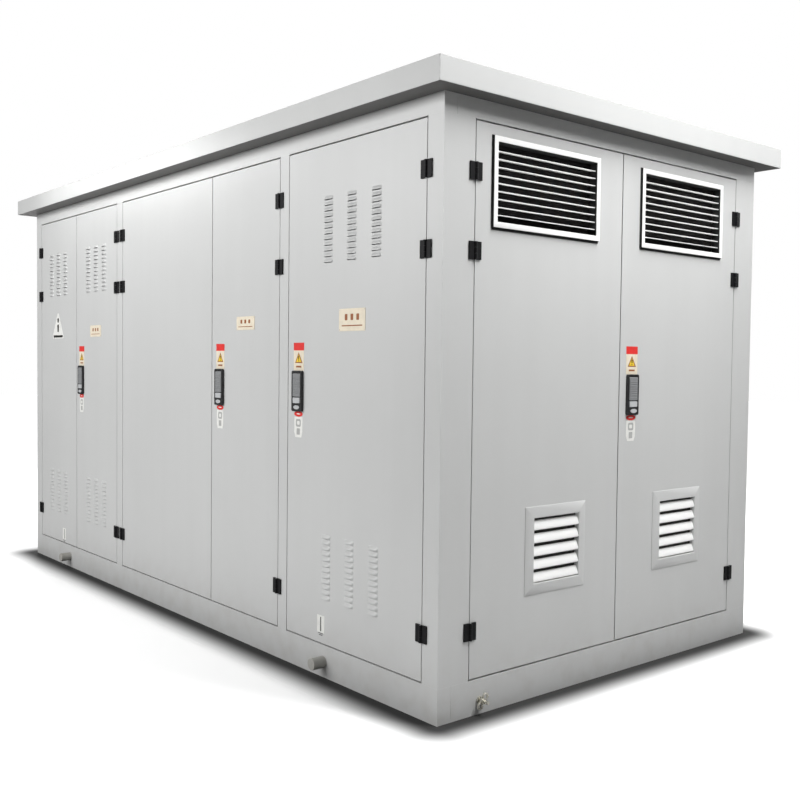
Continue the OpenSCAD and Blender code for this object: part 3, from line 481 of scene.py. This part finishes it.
def lattice(bm, place, xs, zs, level):
    """Adds a closed sheet over a grid of cells. level(x, z) gives (low, high) out of the face, or None."""
    corners = {}

    def corner(i, j, w):
        key = (i, j, round(w, 7))
        if key not in corners:
            corners[key] = bm.verts.new(place @ Vector((xs[i], zs[j], w)))
        return corners[key]

    cells = {}
    for i in range(len(xs) - 1):
        for j in range(len(zs) - 1):
            cells[i, j] = level((xs[i] + xs[i + 1]) / 2, (zs[j] + zs[j + 1]) / 2)
    for (i, j), span in cells.items():
        if span is None:
            continue
        low, high = span
        loop = ((i, j), (i + 1, j), (i + 1, j + 1), (i, j + 1))
        bm.faces.new([corner(a, b, high) for a, b in loop])
        bm.faces.new([corner(a, b, low) for a, b in reversed(loop)])
        for side, (di, dj) in enumerate(((0, -1), (1, 0), (0, 1), (-1, 0))):
            other = cells.get((i + di, j + dj))
            walls = [(low, high)]
            if other is not None:
                walls = [(low, min(high, other[0])), (max(low, other[1]), high)]
            (a, b), (c, d) = loop[side], loop[(side + 1) % 4]
            for bottom, top in walls:
                if top - bottom > 1e-6:
                    bm.faces.new((corner(a, b, bottom), corner(c, d, bottom),
                                  corner(c, d, top), corner(a, b, top)))


def cuts(*numbers):
    """Sorted grid lines with near repeats left out."""
    kept = []
    for n in sorted(numbers):
        if not kept or n - kept[-1] > 0.05 * MM:
            kept.append(n)
    return kept


SHEET = 2.5 * MM
TRAY = 40 * MM
LIP = 14 * MM


def leaf_skin(face, span, holes):
    """A folded door leaf or panel: its skin with turned edges and holes (x, z, w, h), and its place."""
    left, right, low, high = span
    xs = cuts(left, left + SHEET, left + LIP, right - LIP, right - SHEET, right,
              *[x + s * w / 2 for x, z, w, h in holes for s in (-1, 1)])
    zs = cuts(low, low + SHEET, low + LIP, high - LIP, high - SHEET, high,
              *[z + s * h / 2 for x, z, w, h in holes for s in (-1, 1)])

    def level(x, z):
        if any(abs(x - hx) < w / 2 and abs(z - hz) < h / 2 for hx, hz, w, h in holes):
            return None
        edge = min(x - left, right - x, z - low, high - z)
        return (-TRAY, 0) if edge < SHEET else (-SHEET, 0)

    bm = bmesh.new()
    place = on_face(face, (0, 0))
    lattice(bm, place, xs, zs, level)
    return bm, place


HOOD_W, HOOD_H, HOOD_OUT, HOOD_SHEET = 62 * MM, 15 * MM, 8.5 * MM, 1.3 * MM
HOOD_SINK = 0.4 * MM
HOOD_STEPS = (10, 5)  # across, down


def hood(bm, place, x, z):
    """Adds a pressed louvre: a curved sheet closed at its ends, its mouth facing down."""
    nu, nv = HOOD_STEPS

    def point(i, j, inner):
        u = -1 + 2 * i / nu
        v = j / nv
        across = max(0.0, 1 - abs(u) ** 3.2) ** 0.6
        rise = math.sin(v * math.pi / 2) ** 1.15
        w_out = (HOOD_OUT - inner) * across * rise - HOOD_SINK - inner * 0.2
        return place @ Vector((x + u * (HOOD_W / 2 - inner * 0.6), z - v * HOOD_H, w_out))

    shells = [[[bm.verts.new(point(i, j, inner)) for j in range(nv + 1)] for i in range(nu + 1)]
              for inner in (0, HOOD_SHEET)]
    for which, grid in enumerate(shells):
        for i in range(nu):
            for j in range(nv):
                quad = [grid[i][j], grid[i + 1][j], grid[i + 1][j + 1], grid[i][j + 1]]
                bm.faces.new(quad if which else quad[::-1])
    rim = [(i, 0) for i in range(nu)] + [(nu, j) for j in range(nv)]
    rim += [(i, nv) for i in range(nu, 0, -1)] + [(0, j) for j in range(nv, 0, -1)]
    for k, (i, j) in enumerate(rim):
        a, b = rim[(k + 1) % len(rim)]
        bm.faces.new((shells[0][i][j], shells[0][a][b], shells[1][a][b], shells[1][i][j]))


LOUVRE_PITCH = 22.5 * MM
LOUVRE_ZS = (1806 * MM, 457 * MM)
LOUVRE_ROWS = 12
NARROW_PITCH, WIDE_PITCH = 112 * MM, 153 * MM
SLOT_DROP, SLOT_W, SLOT_H = 9.5 * MM, 54 * MM, 14 * MM


def louvre_spots(mid, pitch):
    """Places of a leaf's louvres: an upper and a lower block of three columns."""
    return [(mid + c * pitch, zc + (r - (LOUVRE_ROWS - 1) / 2) * LOUVRE_PITCH)
            for zc in LOUVRE_ZS for c in (-1, 0, 1) for r in range(LOUVRE_ROWS)]


def louvre_slots(spots):
    """The holes behind the hoods."""
    return [(x, z - SLOT_DROP, SLOT_W, SLOT_H) for x, z in spots]


RAIL_W, RAIL_DEPTH, RAIL_SHEET, RAIL_INSET = 34 * MM, 26 * MM, 2 * MM, 60 * MM


def rails(name, face, body, columns, low, high):
    """Stiffening rails inside a leaf."""
    bm = bmesh.new()
    place = on_face(face, (0, 0))
    mid, tall = (low + high) / 2, high - low - RAIL_INSET
    for x in columns:
        for side in (-1, 1):
            edge = x + side * (RAIL_W - RAIL_SHEET) / 2
            prism(bm, place, rect(edge, mid, RAIL_SHEET, tall), -RAIL_DEPTH, -SHEET)
        prism(bm, place, rect(x, mid, RAIL_W, tall), -RAIL_DEPTH, RAIL_SHEET - RAIL_DEPTH)
    finish_piece(name, bm, body, "housing_paint", 0.5 * MM, 1)


def door(letter, face, pitch, holes, rail_share):
    """One leaf with its louvres and its inner rails."""
    node = f"door_{letter}_panel"
    body = f"door_{letter}"
    span = left, right, low, high = span_on_face(face, node)
    spots = louvre_spots((left + right) / 2, pitch) if pitch else []
    bm, place = leaf_skin(face, span, holes + louvre_slots(spots))
    skin = finish_piece(node + ".skin", bm, body, "housing_paint", 0.9 * MM)
    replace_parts(skin, node)
    if spots:
        bm = bmesh.new()
        for x, z in spots:
            hood(bm, place, x, z)
        finish_piece(node + ".hoods", bm, body, "housing_paint")
    columns = [left + (right - left) * s for s in rail_share]
    rails(node + ".rails", face, body, columns, low, high)


# ---------------------------------------------------------------- doors, panels and their louvres
FACE_OF = {"a": "front", "b": "front", "c": "front", "d": "front", "e": "front", "f": "end", "g": "end"}
WITH_HANDLE = "bdeg"
HANDLE_Z = 1150 * MM
HANDLE_INSET = 78 * MM
LOCK_HOLE = (44 * MM, 130 * MM)
LOUVRES = {"a": NARROW_PITCH, "b": NARROW_PITCH, "e": WIDE_PITCH}
GRILLES = {"f": 530 * MM, "g": 1397 * MM}
WINDOWS = {"f": 607 * MM, "g": 1398 * MM}
GRILLE_Z, GRILLE_W, GRILLE_H, GRILLE_BAND = 1924 * MM, 593 * MM, 326 * MM, 20 * MM
WINDOW_Z, WINDOW_W, WINDOW_H, WINDOW_BAND = 565 * MM, 346 * MM, 337 * MM, 44 * MM

# Where the inner rails stand, as shares of a leaf's width, clear of louvres, grilles and handles
RAIL_SHARES = {"a": (0.06, 0.94), "b": (0.94,), "e": (0.94,), "f": (0.04, 0.96), "g": (0.96,)}
PLAIN_SHARES = (0.35, 0.75)

leaf_left = {}
for letter, face in FACE_OF.items():
    leaf_left[letter] = span_on_face(face, f"door_{letter}_panel")[0]
    holes = []
    if letter in WITH_HANDLE:
        holes.append((leaf_left[letter] + HANDLE_INSET, HANDLE_Z, *LOCK_HOLE))
    if letter in GRILLES:
        holes.append((GRILLES[letter], GRILLE_Z, GRILLE_W - GRILLE_BAND, GRILLE_H - GRILLE_BAND))
        holes.append((WINDOWS[letter], WINDOW_Z, WINDOW_W - WINDOW_BAND, WINDOW_H - WINDOW_BAND))
    door(letter, face, LOUVRES.get(letter), holes, RAIL_SHARES.get(letter, PLAIN_SHARES))

PANEL_SCREWS = 7
SCREW_INSET_X, SCREW_INSET_Z = 18 * MM, 60 * MM


def fixed_panels(node, face, spans):
    """Bolted wall panels made as the leaves are, with louvres and a row of screws at each edge."""
    bm = bmesh.new()
    hoods = bmesh.new()
    heads = bmesh.new()
    _, _, low, high = span_on_face(face, node)
    for left, right in spans:
        spots = louvre_spots((left + right) / 2, WIDE_PITCH)
        one, place = leaf_skin(face, (left, right, low, high), louvre_slots(spots))
        mesh = bpy.data.meshes.new("part")
        one.to_mesh(mesh)
        one.free()
        bm.from_mesh(mesh)
        bpy.data.meshes.remove(mesh)
        for x, z in spots:
            hood(hoods, place, x, z)
        for k in range(PANEL_SCREWS):
            z = low + SCREW_INSET_Z + (high - low - 2 * SCREW_INSET_Z) * k / (PANEL_SCREWS - 1)
            for x in (left + SCREW_INSET_X, right - SCREW_INSET_X):
                screw(heads, place, x, z, -0.2 * MM, 5 * MM, 2.4 * MM)
    skin = finish_piece(node + ".skin", bm, "enclosure", "housing_paint", 0.9 * MM)
    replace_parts(skin, node)
    finish_piece(node + ".hoods", hoods, "enclosure", "housing_paint")
    finish_piece(node + ".screws", heads, "enclosure", "pin_steel", 0.3 * MM, 1)


# Clear widths between the rear posts, measured from the left end as seen from the front
REAR_BAYS = [(84 * MM, 1249 * MM), (1320 * MM, 2904 * MM), (2970 * MM, 3846 * MM)]
PANEL_GAP = 4 * MM
fixed_panels("rear_panels", "rear",
             [(2 * HALF_L - b + PANEL_GAP, 2 * HALF_L - a - PANEL_GAP) for a, b in REAR_BAYS])
fixed_panels("left_end_panel", "left", [span_on_face("left", "left_end_panel")[:2]])

# ---------------------------------------------------------------- grilles and louvre windows


def frame_band(bm, place, x, z, w, h, profile):
    """Adds a mitred frame from a closed profile of (inset, out) points."""
    corners = [(-1, -1), (1, -1), (1, 1), (-1, 1)]
    rings = []
    for inset, out in profile:
        rings.append([
            bm.verts.new(place @ Vector((x + sx * (w / 2 - inset), z + sz * (h / 2 - inset), out)))
            for sx, sz in corners])
    count = len(rings)
    for k in range(count):
        low, high = rings[k], rings[(k + 1) % count]
        for i in range(4):
            j = (i + 1) % 4
            bm.faces.new((low[i], low[j], high[j], high[i]))


def blade(bm, place, x, z, w, profile):
    """Adds a slat: a closed profile of (up, out) points drawn along the opening."""
    ends = [[bm.verts.new(place @ Vector((x + s * w / 2, z + v, out))) for v, out in profile]
            for s in (-1, 1)]
    count = len(profile)
    for i in range(count):
        j = (i + 1) % count
        bm.faces.new((ends[0][i], ends[0][j], ends[1][j], ends[1][i]))
    bm.faces.new(ends[0][::-1])
    bm.faces.new(ends[1])


def curved_profile(points, t):
    """Closed profile of a thin bent strip along (up, out) points."""
    up_side, low_side = [], []
    for k, (v, w) in enumerate(points):
        a = points[max(k - 1, 0)]
        b = points[min(k + 1, len(points) - 1)]
        dv, dw = b[0] - a[0], b[1] - a[1]
        size = math.hypot(dv, dw)
        nv, nw = dw / size * t / 2, -dv / size * t / 2
        up_side.append((v + nv, w + nw))
        low_side.append((v - nv, w - nw))
    return up_side + low_side[::-1]


def mm(points):
    """Points given in millimetres."""
    return [(x * MM, z * MM) for x, z in points]


# Slats as bent strips, (up, out) in millimetres, and how thick their sheet is
GRILLE_SLAT, GRILLE_SLAT_T = mm([(-3, 2), (-3, -2), (-1, -14), (1, -27)]), 3.2 * MM
WINDOW_SLAT, WINDOW_SLAT_T = mm([(-18, 1), (-15, 5.5), (-11, 6), (2, 1), (14, -4.5), (17, -9)]), 1.8 * MM
GRILLE_SLATS, WINDOW_SLATS, FILTER_RIBS = 9, 5, 36
BACK = -30 * MM  # how deep a grille or window reaches into its leaf
LAP = 0.4 * MM  # how far past mid band the deep part starts


def grille(letter, x):
    """An upper grille: a mitred band with slats, a rubber gasket round and inside it, and a filter. The
    gasket's black, the black strip under the frame and the near-black filter are partly painted shade: they
    stand in for the frame's shadow on its left and lower side, the shade in its reveal and the dark inside
    the housing.
    """
    place = on_face("end", (0, 0))
    body = f"door_{letter}"
    name = f"door_{letter}_grille"
    b = GRILLE_BAND
    bm = bmesh.new()
    frame_band(bm, place, x, GRILLE_Z, GRILLE_W, GRILLE_H, [
        (0, 10.5 * MM), (0, 11.4 * MM), (1 * MM, 12 * MM), (b - 2 * MM, 12 * MM), (b, 11 * MM), (b, BACK),
        (b / 2 + LAP, BACK), (b / 2 + LAP, 10.5 * MM)])
    open_w, open_h = GRILLE_W - 2 * b, GRILLE_H - 2 * b
    for k in range(1, GRILLE_SLATS + 1):
        z = GRILLE_Z - open_h / 2 + k * open_h / (GRILLE_SLATS + 1)
        blade(bm, place, x, z, open_w + 1 * MM, curved_profile(GRILLE_SLAT, GRILLE_SLAT_T))
    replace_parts(finish_piece(name + ".skin", bm, body, "grille_white", 0.4 * MM, 1), name)

    # Black rubber round the frame and lining its opening, also painted shade: it stands in for the frame's
    # shadow on its left and lower side and the shade in its reveal
    bm = bmesh.new()
    frame_band(bm, place, x, GRILLE_Z, GRILLE_W + 6 * MM, GRILLE_H + 6 * MM, [
        (0, -0.2 * MM), (0, 2.5 * MM), (3 * MM, 2.5 * MM), (3.4 * MM, 10.6 * MM), (b / 2 + 3 * MM, 10.6 * MM),
        (b / 2 + 3 * MM, -0.2 * MM)])
    frame_band(bm, place, x, GRILLE_Z, GRILLE_W, GRILLE_H,
               [(b, -29 * MM), (b, 9 * MM), (b + 1.2 * MM, 9 * MM), (b + 1.2 * MM, -29 * MM)])
    # A black strip under the frame: a painted shadow of the frame on the leaf below
    prism(bm, place, rect(x, GRILLE_Z - GRILLE_H / 2 - 6 * MM, GRILLE_W, 5 * MM), -0.2 * MM, 3 * MM)
    finish_piece(name + ".gasket_and_shadow", bm, body, "seal_rubber", 0.3 * MM, 1)

    # A filter behind the slats, coloured near black to stand in for the shade inside the housing
    bm = bmesh.new()
    prism(bm, place, rect(x, GRILLE_Z, GRILLE_W - b - 2 * MM, GRILLE_H - b - 2 * MM), -36 * MM, -31 * MM)
    finish_piece(name + ".filter", bm, body, "air_filter", material=INK["filter"])


def louvre_window(letter, x):
    """A lower window: a pressed bezel in the housing's paint, white slats and a ribbed filter."""
    place = on_face("end", (0, 0))
    body = f"door_{letter}"
    name = f"door_{letter}_louvre_window"
    b = WINDOW_BAND
    bm = bmesh.new()
    frame_band(bm, place, x, WINDOW_Z, WINDOW_W, WINDOW_H, [
        (0, 0), (0, 1.6 * MM), (1 * MM, 2.4 * MM), (b - 6 * MM, 9 * MM), (b - 1 * MM, 8 * MM), (b, 6 * MM),
        (b, BACK), (b / 2 + LAP, BACK), (b / 2 + LAP, 0)])
    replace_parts(finish_piece(name + ".skin", bm, body, "housing_paint", 0.6 * MM), name)

    bm = bmesh.new()
    open_w, open_h = WINDOW_W - 2 * b, WINDOW_H - 2 * b
    for k in range(WINDOW_SLATS):
        z = WINDOW_Z - open_h / 2 + (k + 0.42) * open_h / WINDOW_SLATS
        blade(bm, place, x, z, open_w + 1 * MM, curved_profile(WINDOW_SLAT, WINDOW_SLAT_T))
    finish_piece(name + ".slats", bm, body, "grille_white", 0.4 * MM, 1)

    bm = bmesh.new()
    prism(bm, place, rect(x, WINDOW_Z, open_w + 1 * MM, open_h + 1 * MM), -22 * MM, -14 * MM)
    for k in range(FILTER_RIBS):
        z = WINDOW_Z + ((k + 0.5) / FILTER_RIBS - 0.5) * open_h
        prism(bm, place, rect(x, z, open_w, 2.4 * MM), -14.5 * MM, -12 * MM)
    finish_piece(name + ".filter", bm, body, "air_filter", material=INK["mesh"])


for letter, x in GRILLES.items():
    grille(letter, x)
for letter, x in WINDOWS.items():
    louvre_window(letter, x)

# ---------------------------------------------------------------- steelwork and roof
for node, slot, bevel in (
    ("base_frame", "housing_paint", 1.6), ("frame_posts", "housing_paint", 0.3),
    ("frame_headers", "housing_paint", 0.3), ("floor_plates", "floor_steel", 0.6),
    # The soffit's near-black paint is painted shade under the roof's overhang
    ("partition_walls", "inner_sheet", 0.6), ("roof_soffit", "soffit_paint", 0.6),
    ("roof_cover", "roof_paint", 1.6), ("lifting_trunnions", "trunnion_paint", 1.5),
    ("earth_stud", "earth_metal", 0.6), ("door_seals", "seal_rubber", 1.5), ("hinge_pins", "pin_steel", 0.4),
    ("frame_hinge_leaves", "hinge_black", 0.9),
):
    refined(node, slot, bevel * MM)
for letter in FACE_OF:
    refined(f"door_{letter}_hinge_leaves", "hinge_black", 0.9 * MM)

# ---------------------------------------------------------------- handles
for letter in WITH_HANDLE:
    refined(f"handle_{letter}_plate", "handle_black", 0.8 * MM)
    refined(f"handle_{letter}_lever", "lever_grey", 0.7 * MM)
    refined(f"handle_{letter}_button", "button_grey", 0.6 * MM)

# ---------------------------------------------------------------- labels and plates
FILM = 0.5 * MM
BASE_LAYER = (0, FILM)
PRINT_LAYER = (FILM * 0.5, FILM * 1.4)
MID_LAYER = (FILM, FILM * 1.8)
TOP_LAYER = (FILM, FILM * 2.2)


def stickers(letter):
    """The strips above and below a handle, with plain shapes for marks, and its key cover."""
    place = on_face(FACE_OF[letter], (leaf_left[letter] + HANDLE_INSET, 0))
    body = f"door_{letter}"
    base = f"sticker_{letter}"
    for part, ink, layer, outlines in (
        ("red", "red", BASE_LAYER,
         [rect(0, 1334 * MM, 76 * MM, 32 * MM), ellipse(0, 1055 * MM, 62 * MM, 23 * MM)]),
        ("cream", "cream", BASE_LAYER, [rect(0, 1276.5 * MM, 74 * MM, 83 * MM)]),
        ("border", "brown", PRINT_LAYER,
         [mm([(-27, 1266), (27, 1266), (0, 1311)]), rect(0, 1251 * MM, 38 * MM, 7 * MM)]),
        ("triangle", "yellow", MID_LAYER, [mm([(-19, 1270), (19, 1270), (0, 1302)])]),
        ("mark", "black", TOP_LAYER,
         [mm([(-2.5, 1280), (2.5, 1280), (3.5, 1295), (-3.5, 1295)]),
          ellipse(0, 1275 * MM, 5 * MM, 5 * MM, 12)]),
        ("white", "white", BASE_LAYER,
         [mm([(-30, 1043), (-30, 980), (-22, 958), (22, 958), (30, 980), (30, 1043)])]),
        ("spot", "white", PRINT_LAYER, [ellipse(0, 1055 * MM, 30 * MM, 4 * MM, 20)]),
    ):
        decal(f"{base}.{part}", place, outlines, body, ink, layer)
    bm = bmesh.new()
    ring_of(bm, place, round_rect(0, 1018 * MM, 36 * MM, 32 * MM, 8 * MM),
            round_rect(0, 1018 * MM, 20 * MM, 16 * MM, 5 * MM), *PRINT_LAYER)
    prism(bm, place, round_rect(0, 982 * MM, 24 * MM, 26 * MM, 3 * MM), *PRINT_LAYER)
    finish_piece(base + ".signs", bm, body, "label_print", material=INK["grey"])
    bm = bmesh.new()
    prism(bm, place, ellipse(2 * MM, 1083 * MM, 42 * MM, 17 * MM), 11.8 * MM, 14 * MM)
    finish_piece(f"handle_{letter}_key_cover", bm, body, "button_grey", 0.6 * MM)


for letter in WITH_HANDLE:
    stickers(letter)


def name_plate(letter, x, z, w, h):
    """A riveted foil plate on a front leaf, with three plain blocks and a line under them."""
    name, body = f"plate_{letter}", f"door_{letter}"
    place = on_face("front", (x * MM, z * MM))
    bm = bmesh.new()
    prism(bm, place, round_rect(0, 0, w * MM, h * MM, 3 * MM), 0, 1.5 * MM)
    finish_piece(name + ".foil", bm, body, "label_print", 0.4 * MM, material=INK["cream"])
    marks = [round_rect(k * w * 0.22 * MM, h * 0.12 * MM, w * 0.10 * MM, h * 0.28 * MM, 3 * MM)
             for k in (-1, 0, 1)]
    marks.append(rect(0, -h * 0.26 * MM, w * 0.78 * MM, h * 0.05 * MM))
    decal(name + ".strokes", place, marks, body, "brown", (1.2 * MM, 1.9 * MM))
    bm = bmesh.new()
    for sx in (-1, 1):
        for sz in (-1, 1):
            screw(bm, place, sx * (w / 2 - 5) * MM, sz * (h / 2 - 5) * MM, 1.4 * MM, 1.8 * MM, 1 * MM)
    finish_piece(name + ".rivets", bm, body, "pin_steel", 0.2 * MM, 1)


name_plate("e", 3416, 1435.5, 168, 87)
name_plate("d", 2625, 1441, 154, 60)
name_plate("b", 953.5, 1436, 155, 66)

# The sign on the first leaf: a triangle over a bar
place = on_face("front", (370 * MM, 0))
decal("sign_a.sheet", place, [mm([(-86, 1400), (86, 1400), (86, 1422), (8, 1556), (-8, 1556), (-86, 1422)])],
      "door_a", "white", BASE_LAYER)
decal("sign_a.marks", place,
      [mm([(-10, 1440), (10, 1440), (14, 1486), (-14, 1486)]), ellipse(0, 1512 * MM, 26 * MM, 30 * MM, 20),
       rect(0, 1413 * MM, 150 * MM, 14 * MM)],
      "door_a", "black", PRINT_LAYER)

# Earth labels low down: a strip with an upright bar and two short ones under it
for letter, x, low, high in (("e", 3224, 177, 248), ("a", 467, 152, 224)):
    name, body = f"earth_label_{letter}", f"door_{letter}"
    place = on_face("front", (x * MM, 0))
    mid = (low + high) / 2
    decal(name + ".strip", place, [rect(0, mid * MM, 50 * MM, (high - low) * MM)], body, "white", BASE_LAYER)
    decal(name + ".mark", place, [rect(0, mid * MM, 7 * MM, (high - low - 12) * MM)] +
          [rect(0, (low - 2 - 7 * k) * MM, (34 - 10 * k) * MM, 3 * MM) for k in range(2)],
          body, "black", PRINT_LAYER)

# ---------------------------------------------------------------- the plant inside
for node, slot in {
    "transformer_tank": "tank_paint", "transformer_lid": "tank_paint", "transformer_core": "core_steel",
    "transformer_windings": "winding_copper", "hv_bushings": "porcelain", "lv_bushings": "porcelain",
    "tap_changer_knob": "knob_black", "hv_switchgear": "cabinet_paint", "hv_cable_knob": "knob_red",
    "hv_feed_knob": "knob_red", "hv_cables": "cable_red", "lv_switchboard": "cabinet_paint",
    "main_breaker": "breaker_grey", "main_breaker_handle": "knob_black", "feeder_fuses": "fuse_ivory",
    "lv_busbars": "busbar_copper",
}.items():
    refined(node, slot, 1.2 * MM)

# ---------------------------------------------------------------- floor, light and camera
# The floor's own ramps, by distance from the base in metres: (near, far, value near, value far)
LIFT_RAMP = (0.25, 3.0, 0.25, 0.9)
# The next two ramps paint a contact shadow beside the base: one fades the floor's glow, the other darkens its
# colour
SHADOW_GLOW_RAMP = (0.03, 0.22, 0.0, 1.0)
SHADOW_TINT_RAMP = (0.03, 0.22, 0.02, 1.0)
WHITE = (1, 1, 1, 1)


def floor_glow_and_painted_shadow(material):
    """Lifts the floor to white away from the housing and darkens it right beside the base, a painted contact
    shadow.
    """
    tree = material.node_tree
    shader = next(n for n in tree.nodes if n.type == "BSDF_PRINCIPLED")
    spot = tree.nodes.new("ShaderNodeNewGeometry").outputs["Position"]

    def vector(operation, source, value=None):
        step = tree.nodes.new("ShaderNodeVectorMath")
        step.operation = operation
        tree.links.new(source, step.inputs[0])
        if value is not None:
            step.inputs[1].default_value = value
        return step

    def ramp(near, far, low, high):
        step = tree.nodes.new("ShaderNodeMapRange")
        step.interpolation_type = "SMOOTHSTEP"
        for key, value in zip(("From Min", "From Max", "To Min", "To Max"), (near, far, low, high)):
            step.inputs[key].default_value = value
        tree.links.new(away, step.inputs["Value"])
        return step.outputs[0]

    def product(a, b):
        step = tree.nodes.new("ShaderNodeMath")
        step.operation = "MULTIPLY"
        tree.links.new(a, step.inputs[0])
        tree.links.new(b, step.inputs[1])
        return step.outputs[0]

    past = vector("SUBTRACT", vector("ABSOLUTE", spot).outputs[0], (HALF_L, HALF_W, 0)).outputs[0]
    away = vector("LENGTH", vector("MAXIMUM", past, (0, 0, 0)).outputs[0]).outputs["Value"]
    seen = tree.nodes.new("ShaderNodeLightPath").outputs["Is Camera Ray"]
    lift = product(ramp(*LIFT_RAMP), seen)
    # Painted contact shadow: the glow fades to nothing right beside the base
    tree.links.new(product(lift, ramp(*SHADOW_GLOW_RAMP)), shader.inputs["Emission Strength"])
    shader.inputs["Emission Color"].default_value = WHITE
    color = shader.inputs["Base Color"].links[0].from_socket
    # Painted contact shadow: the floor's colour goes near black right beside the base
    shadow_tint = tree.nodes.new("ShaderNodeMix")
    shadow_tint.data_type = "RGBA"
    shadow_tint.blend_type = "MULTIPLY"
    shadow_tint.inputs[0].default_value = 1.0
    tree.links.new(color, shadow_tint.inputs[6])
    tree.links.new(ramp(*SHADOW_TINT_RAMP), shadow_tint.inputs[7])
    tree.links.new(shadow_tint.outputs[2], shader.inputs["Base Color"])


FLOOR_SIZE, FLOOR_DEPTH = 60, 0.05
FLOOR_GREY, FLOOR_SEEN = (0.45, 0.45, 0.45), (0.97, 0.97, 0.97)
bm = bmesh.new()
prism(bm, Matrix.Identity(4), rect(0, 0, FLOOR_SIZE, FLOOR_SIZE), -FLOOR_DEPTH, 0)
floor_mesh = bpy.data.meshes.new("floor")
bm.to_mesh(floor_mesh)
bm.free()
floor = bpy.data.objects.new("floor", floor_mesh)
bpy.context.scene.collection.objects.link(floor)
ground = Paint("ground", FLOOR_GREY, 0.85)
ground.mix(ground.node("ShaderNodeLightPath").outputs["Is Camera Ray"], FLOOR_SEEN)
ground.shade(ground.spread(ground.noise(0.7), 0.3, 0.7, 0.99, 1.01))
ground.bump(ground.noise(90.0), 0.1, 0.0005)
floor_mesh.materials.append(ground.done())
# The floor gets its lift to white and a painted contact shadow beside the base
floor_glow_and_painted_shadow(floor_mesh.materials[0])

# A faint even light from all round, behind which the camera sees white
AMBIENT = 0.16
world = bpy.data.worlds.new("studio")
bpy.context.scene.world = world
world.use_nodes = True
sky = world.node_tree
ambient = sky.nodes["Background"]
ambient.inputs["Color"].default_value = WHITE
ambient.inputs["Strength"].default_value = AMBIENT
backdrop = sky.nodes.new("ShaderNodeBackground")
backdrop.inputs["Color"].default_value = WHITE
ray = sky.nodes.new("ShaderNodeLightPath")
pick = sky.nodes.new("ShaderNodeMixShader")
sky.links.new(ray.outputs["Is Camera Ray"], pick.inputs[0])
sky.links.new(ambient.outputs[0], pick.inputs[1])
sky.links.new(backdrop.outputs[0], pick.inputs[2])
sky.links.new(pick.outputs[0], sky.nodes["World Output"].inputs[0])

# Area lights: name, place, target, (width, height), watts, seen by the camera
LIGHTS = (
    ("key_front", (-0.7, -5.0, 3.0), (-0.7, -0.98, 1.6), (6.0, 1.5), 225, True),
    ("key_end", (3.6, 0.2, 4.4), (1.96, 0.1, 1.6), (0.5, 3.0), 235, True),
    ("top_front", (-0.55, -1.34, 2.3), (-0.55, -0.98, 2.2), (2.0, 0.1), 2.6, False),
    ("key_rear", (0.5, 5.4, 3.2), (0.0, 0.98, 1.4), (6.0, 1.5), 150, True),
    ("key_left", (-5.6, 0.6, 3.2), (-1.96, 0.0, 1.4), (1.5, 3.5), 110, True),
    ("bounce_front", (-0.3, -2.4, 0.03), (-0.3, -2.4, 1.0), (5.0, 2.4), 9, False),
)
for name, place, target, size, power, shown in LIGHTS:
    lamp = bpy.data.lights.new(name, "AREA")
    lamp.shape = "RECTANGLE"
    lamp.size, lamp.size_y = size
    lamp.energy = power
    holder = bpy.data.objects.new(name, lamp)
    bpy.context.scene.collection.objects.link(holder)
    holder.location = place
    holder.rotation_euler = (Vector(target) - Vector(place)).to_track_quat("-Z", "Y").to_euler()
    if not shown:
        holder.visible_camera = False

# The camera, solved from the straight edges of the housing in the photograph
AZIMUTH, PITCH, ROLL = map(math.radians, (50.2341, 2.1527, 0.6440))
CAMERA_PLACE = (4.47393, -3.25465, 1.27003)
LENS_MM, SENSOR_MM = 44.07, 36
sight = Vector((-math.sin(AZIMUTH) * math.cos(PITCH), math.cos(AZIMUTH) * math.cos(PITCH), -math.sin(PITCH)))
level_right = Vector((math.cos(AZIMUTH), math.sin(AZIMUTH), 0))
level_up = level_right.cross(sight)
cam_right = math.cos(ROLL) * level_right + math.sin(ROLL) * level_up
cam_up = -math.sin(ROLL) * level_right + math.cos(ROLL) * level_up
lens = bpy.data.cameras.new("camera")
lens.sensor_width = SENSOR_MM
lens.lens = LENS_MM
camera = bpy.data.objects.new("camera", lens)
bpy.context.scene.collection.objects.link(camera)
turned = Matrix((cam_right, cam_up, -sight)).transposed().to_4x4()
camera.matrix_world = Matrix.Translation(CAMERA_PLACE) @ turned
bpy.context.scene.camera = camera
bpy.context.scene.view_settings.view_transform = "Standard"
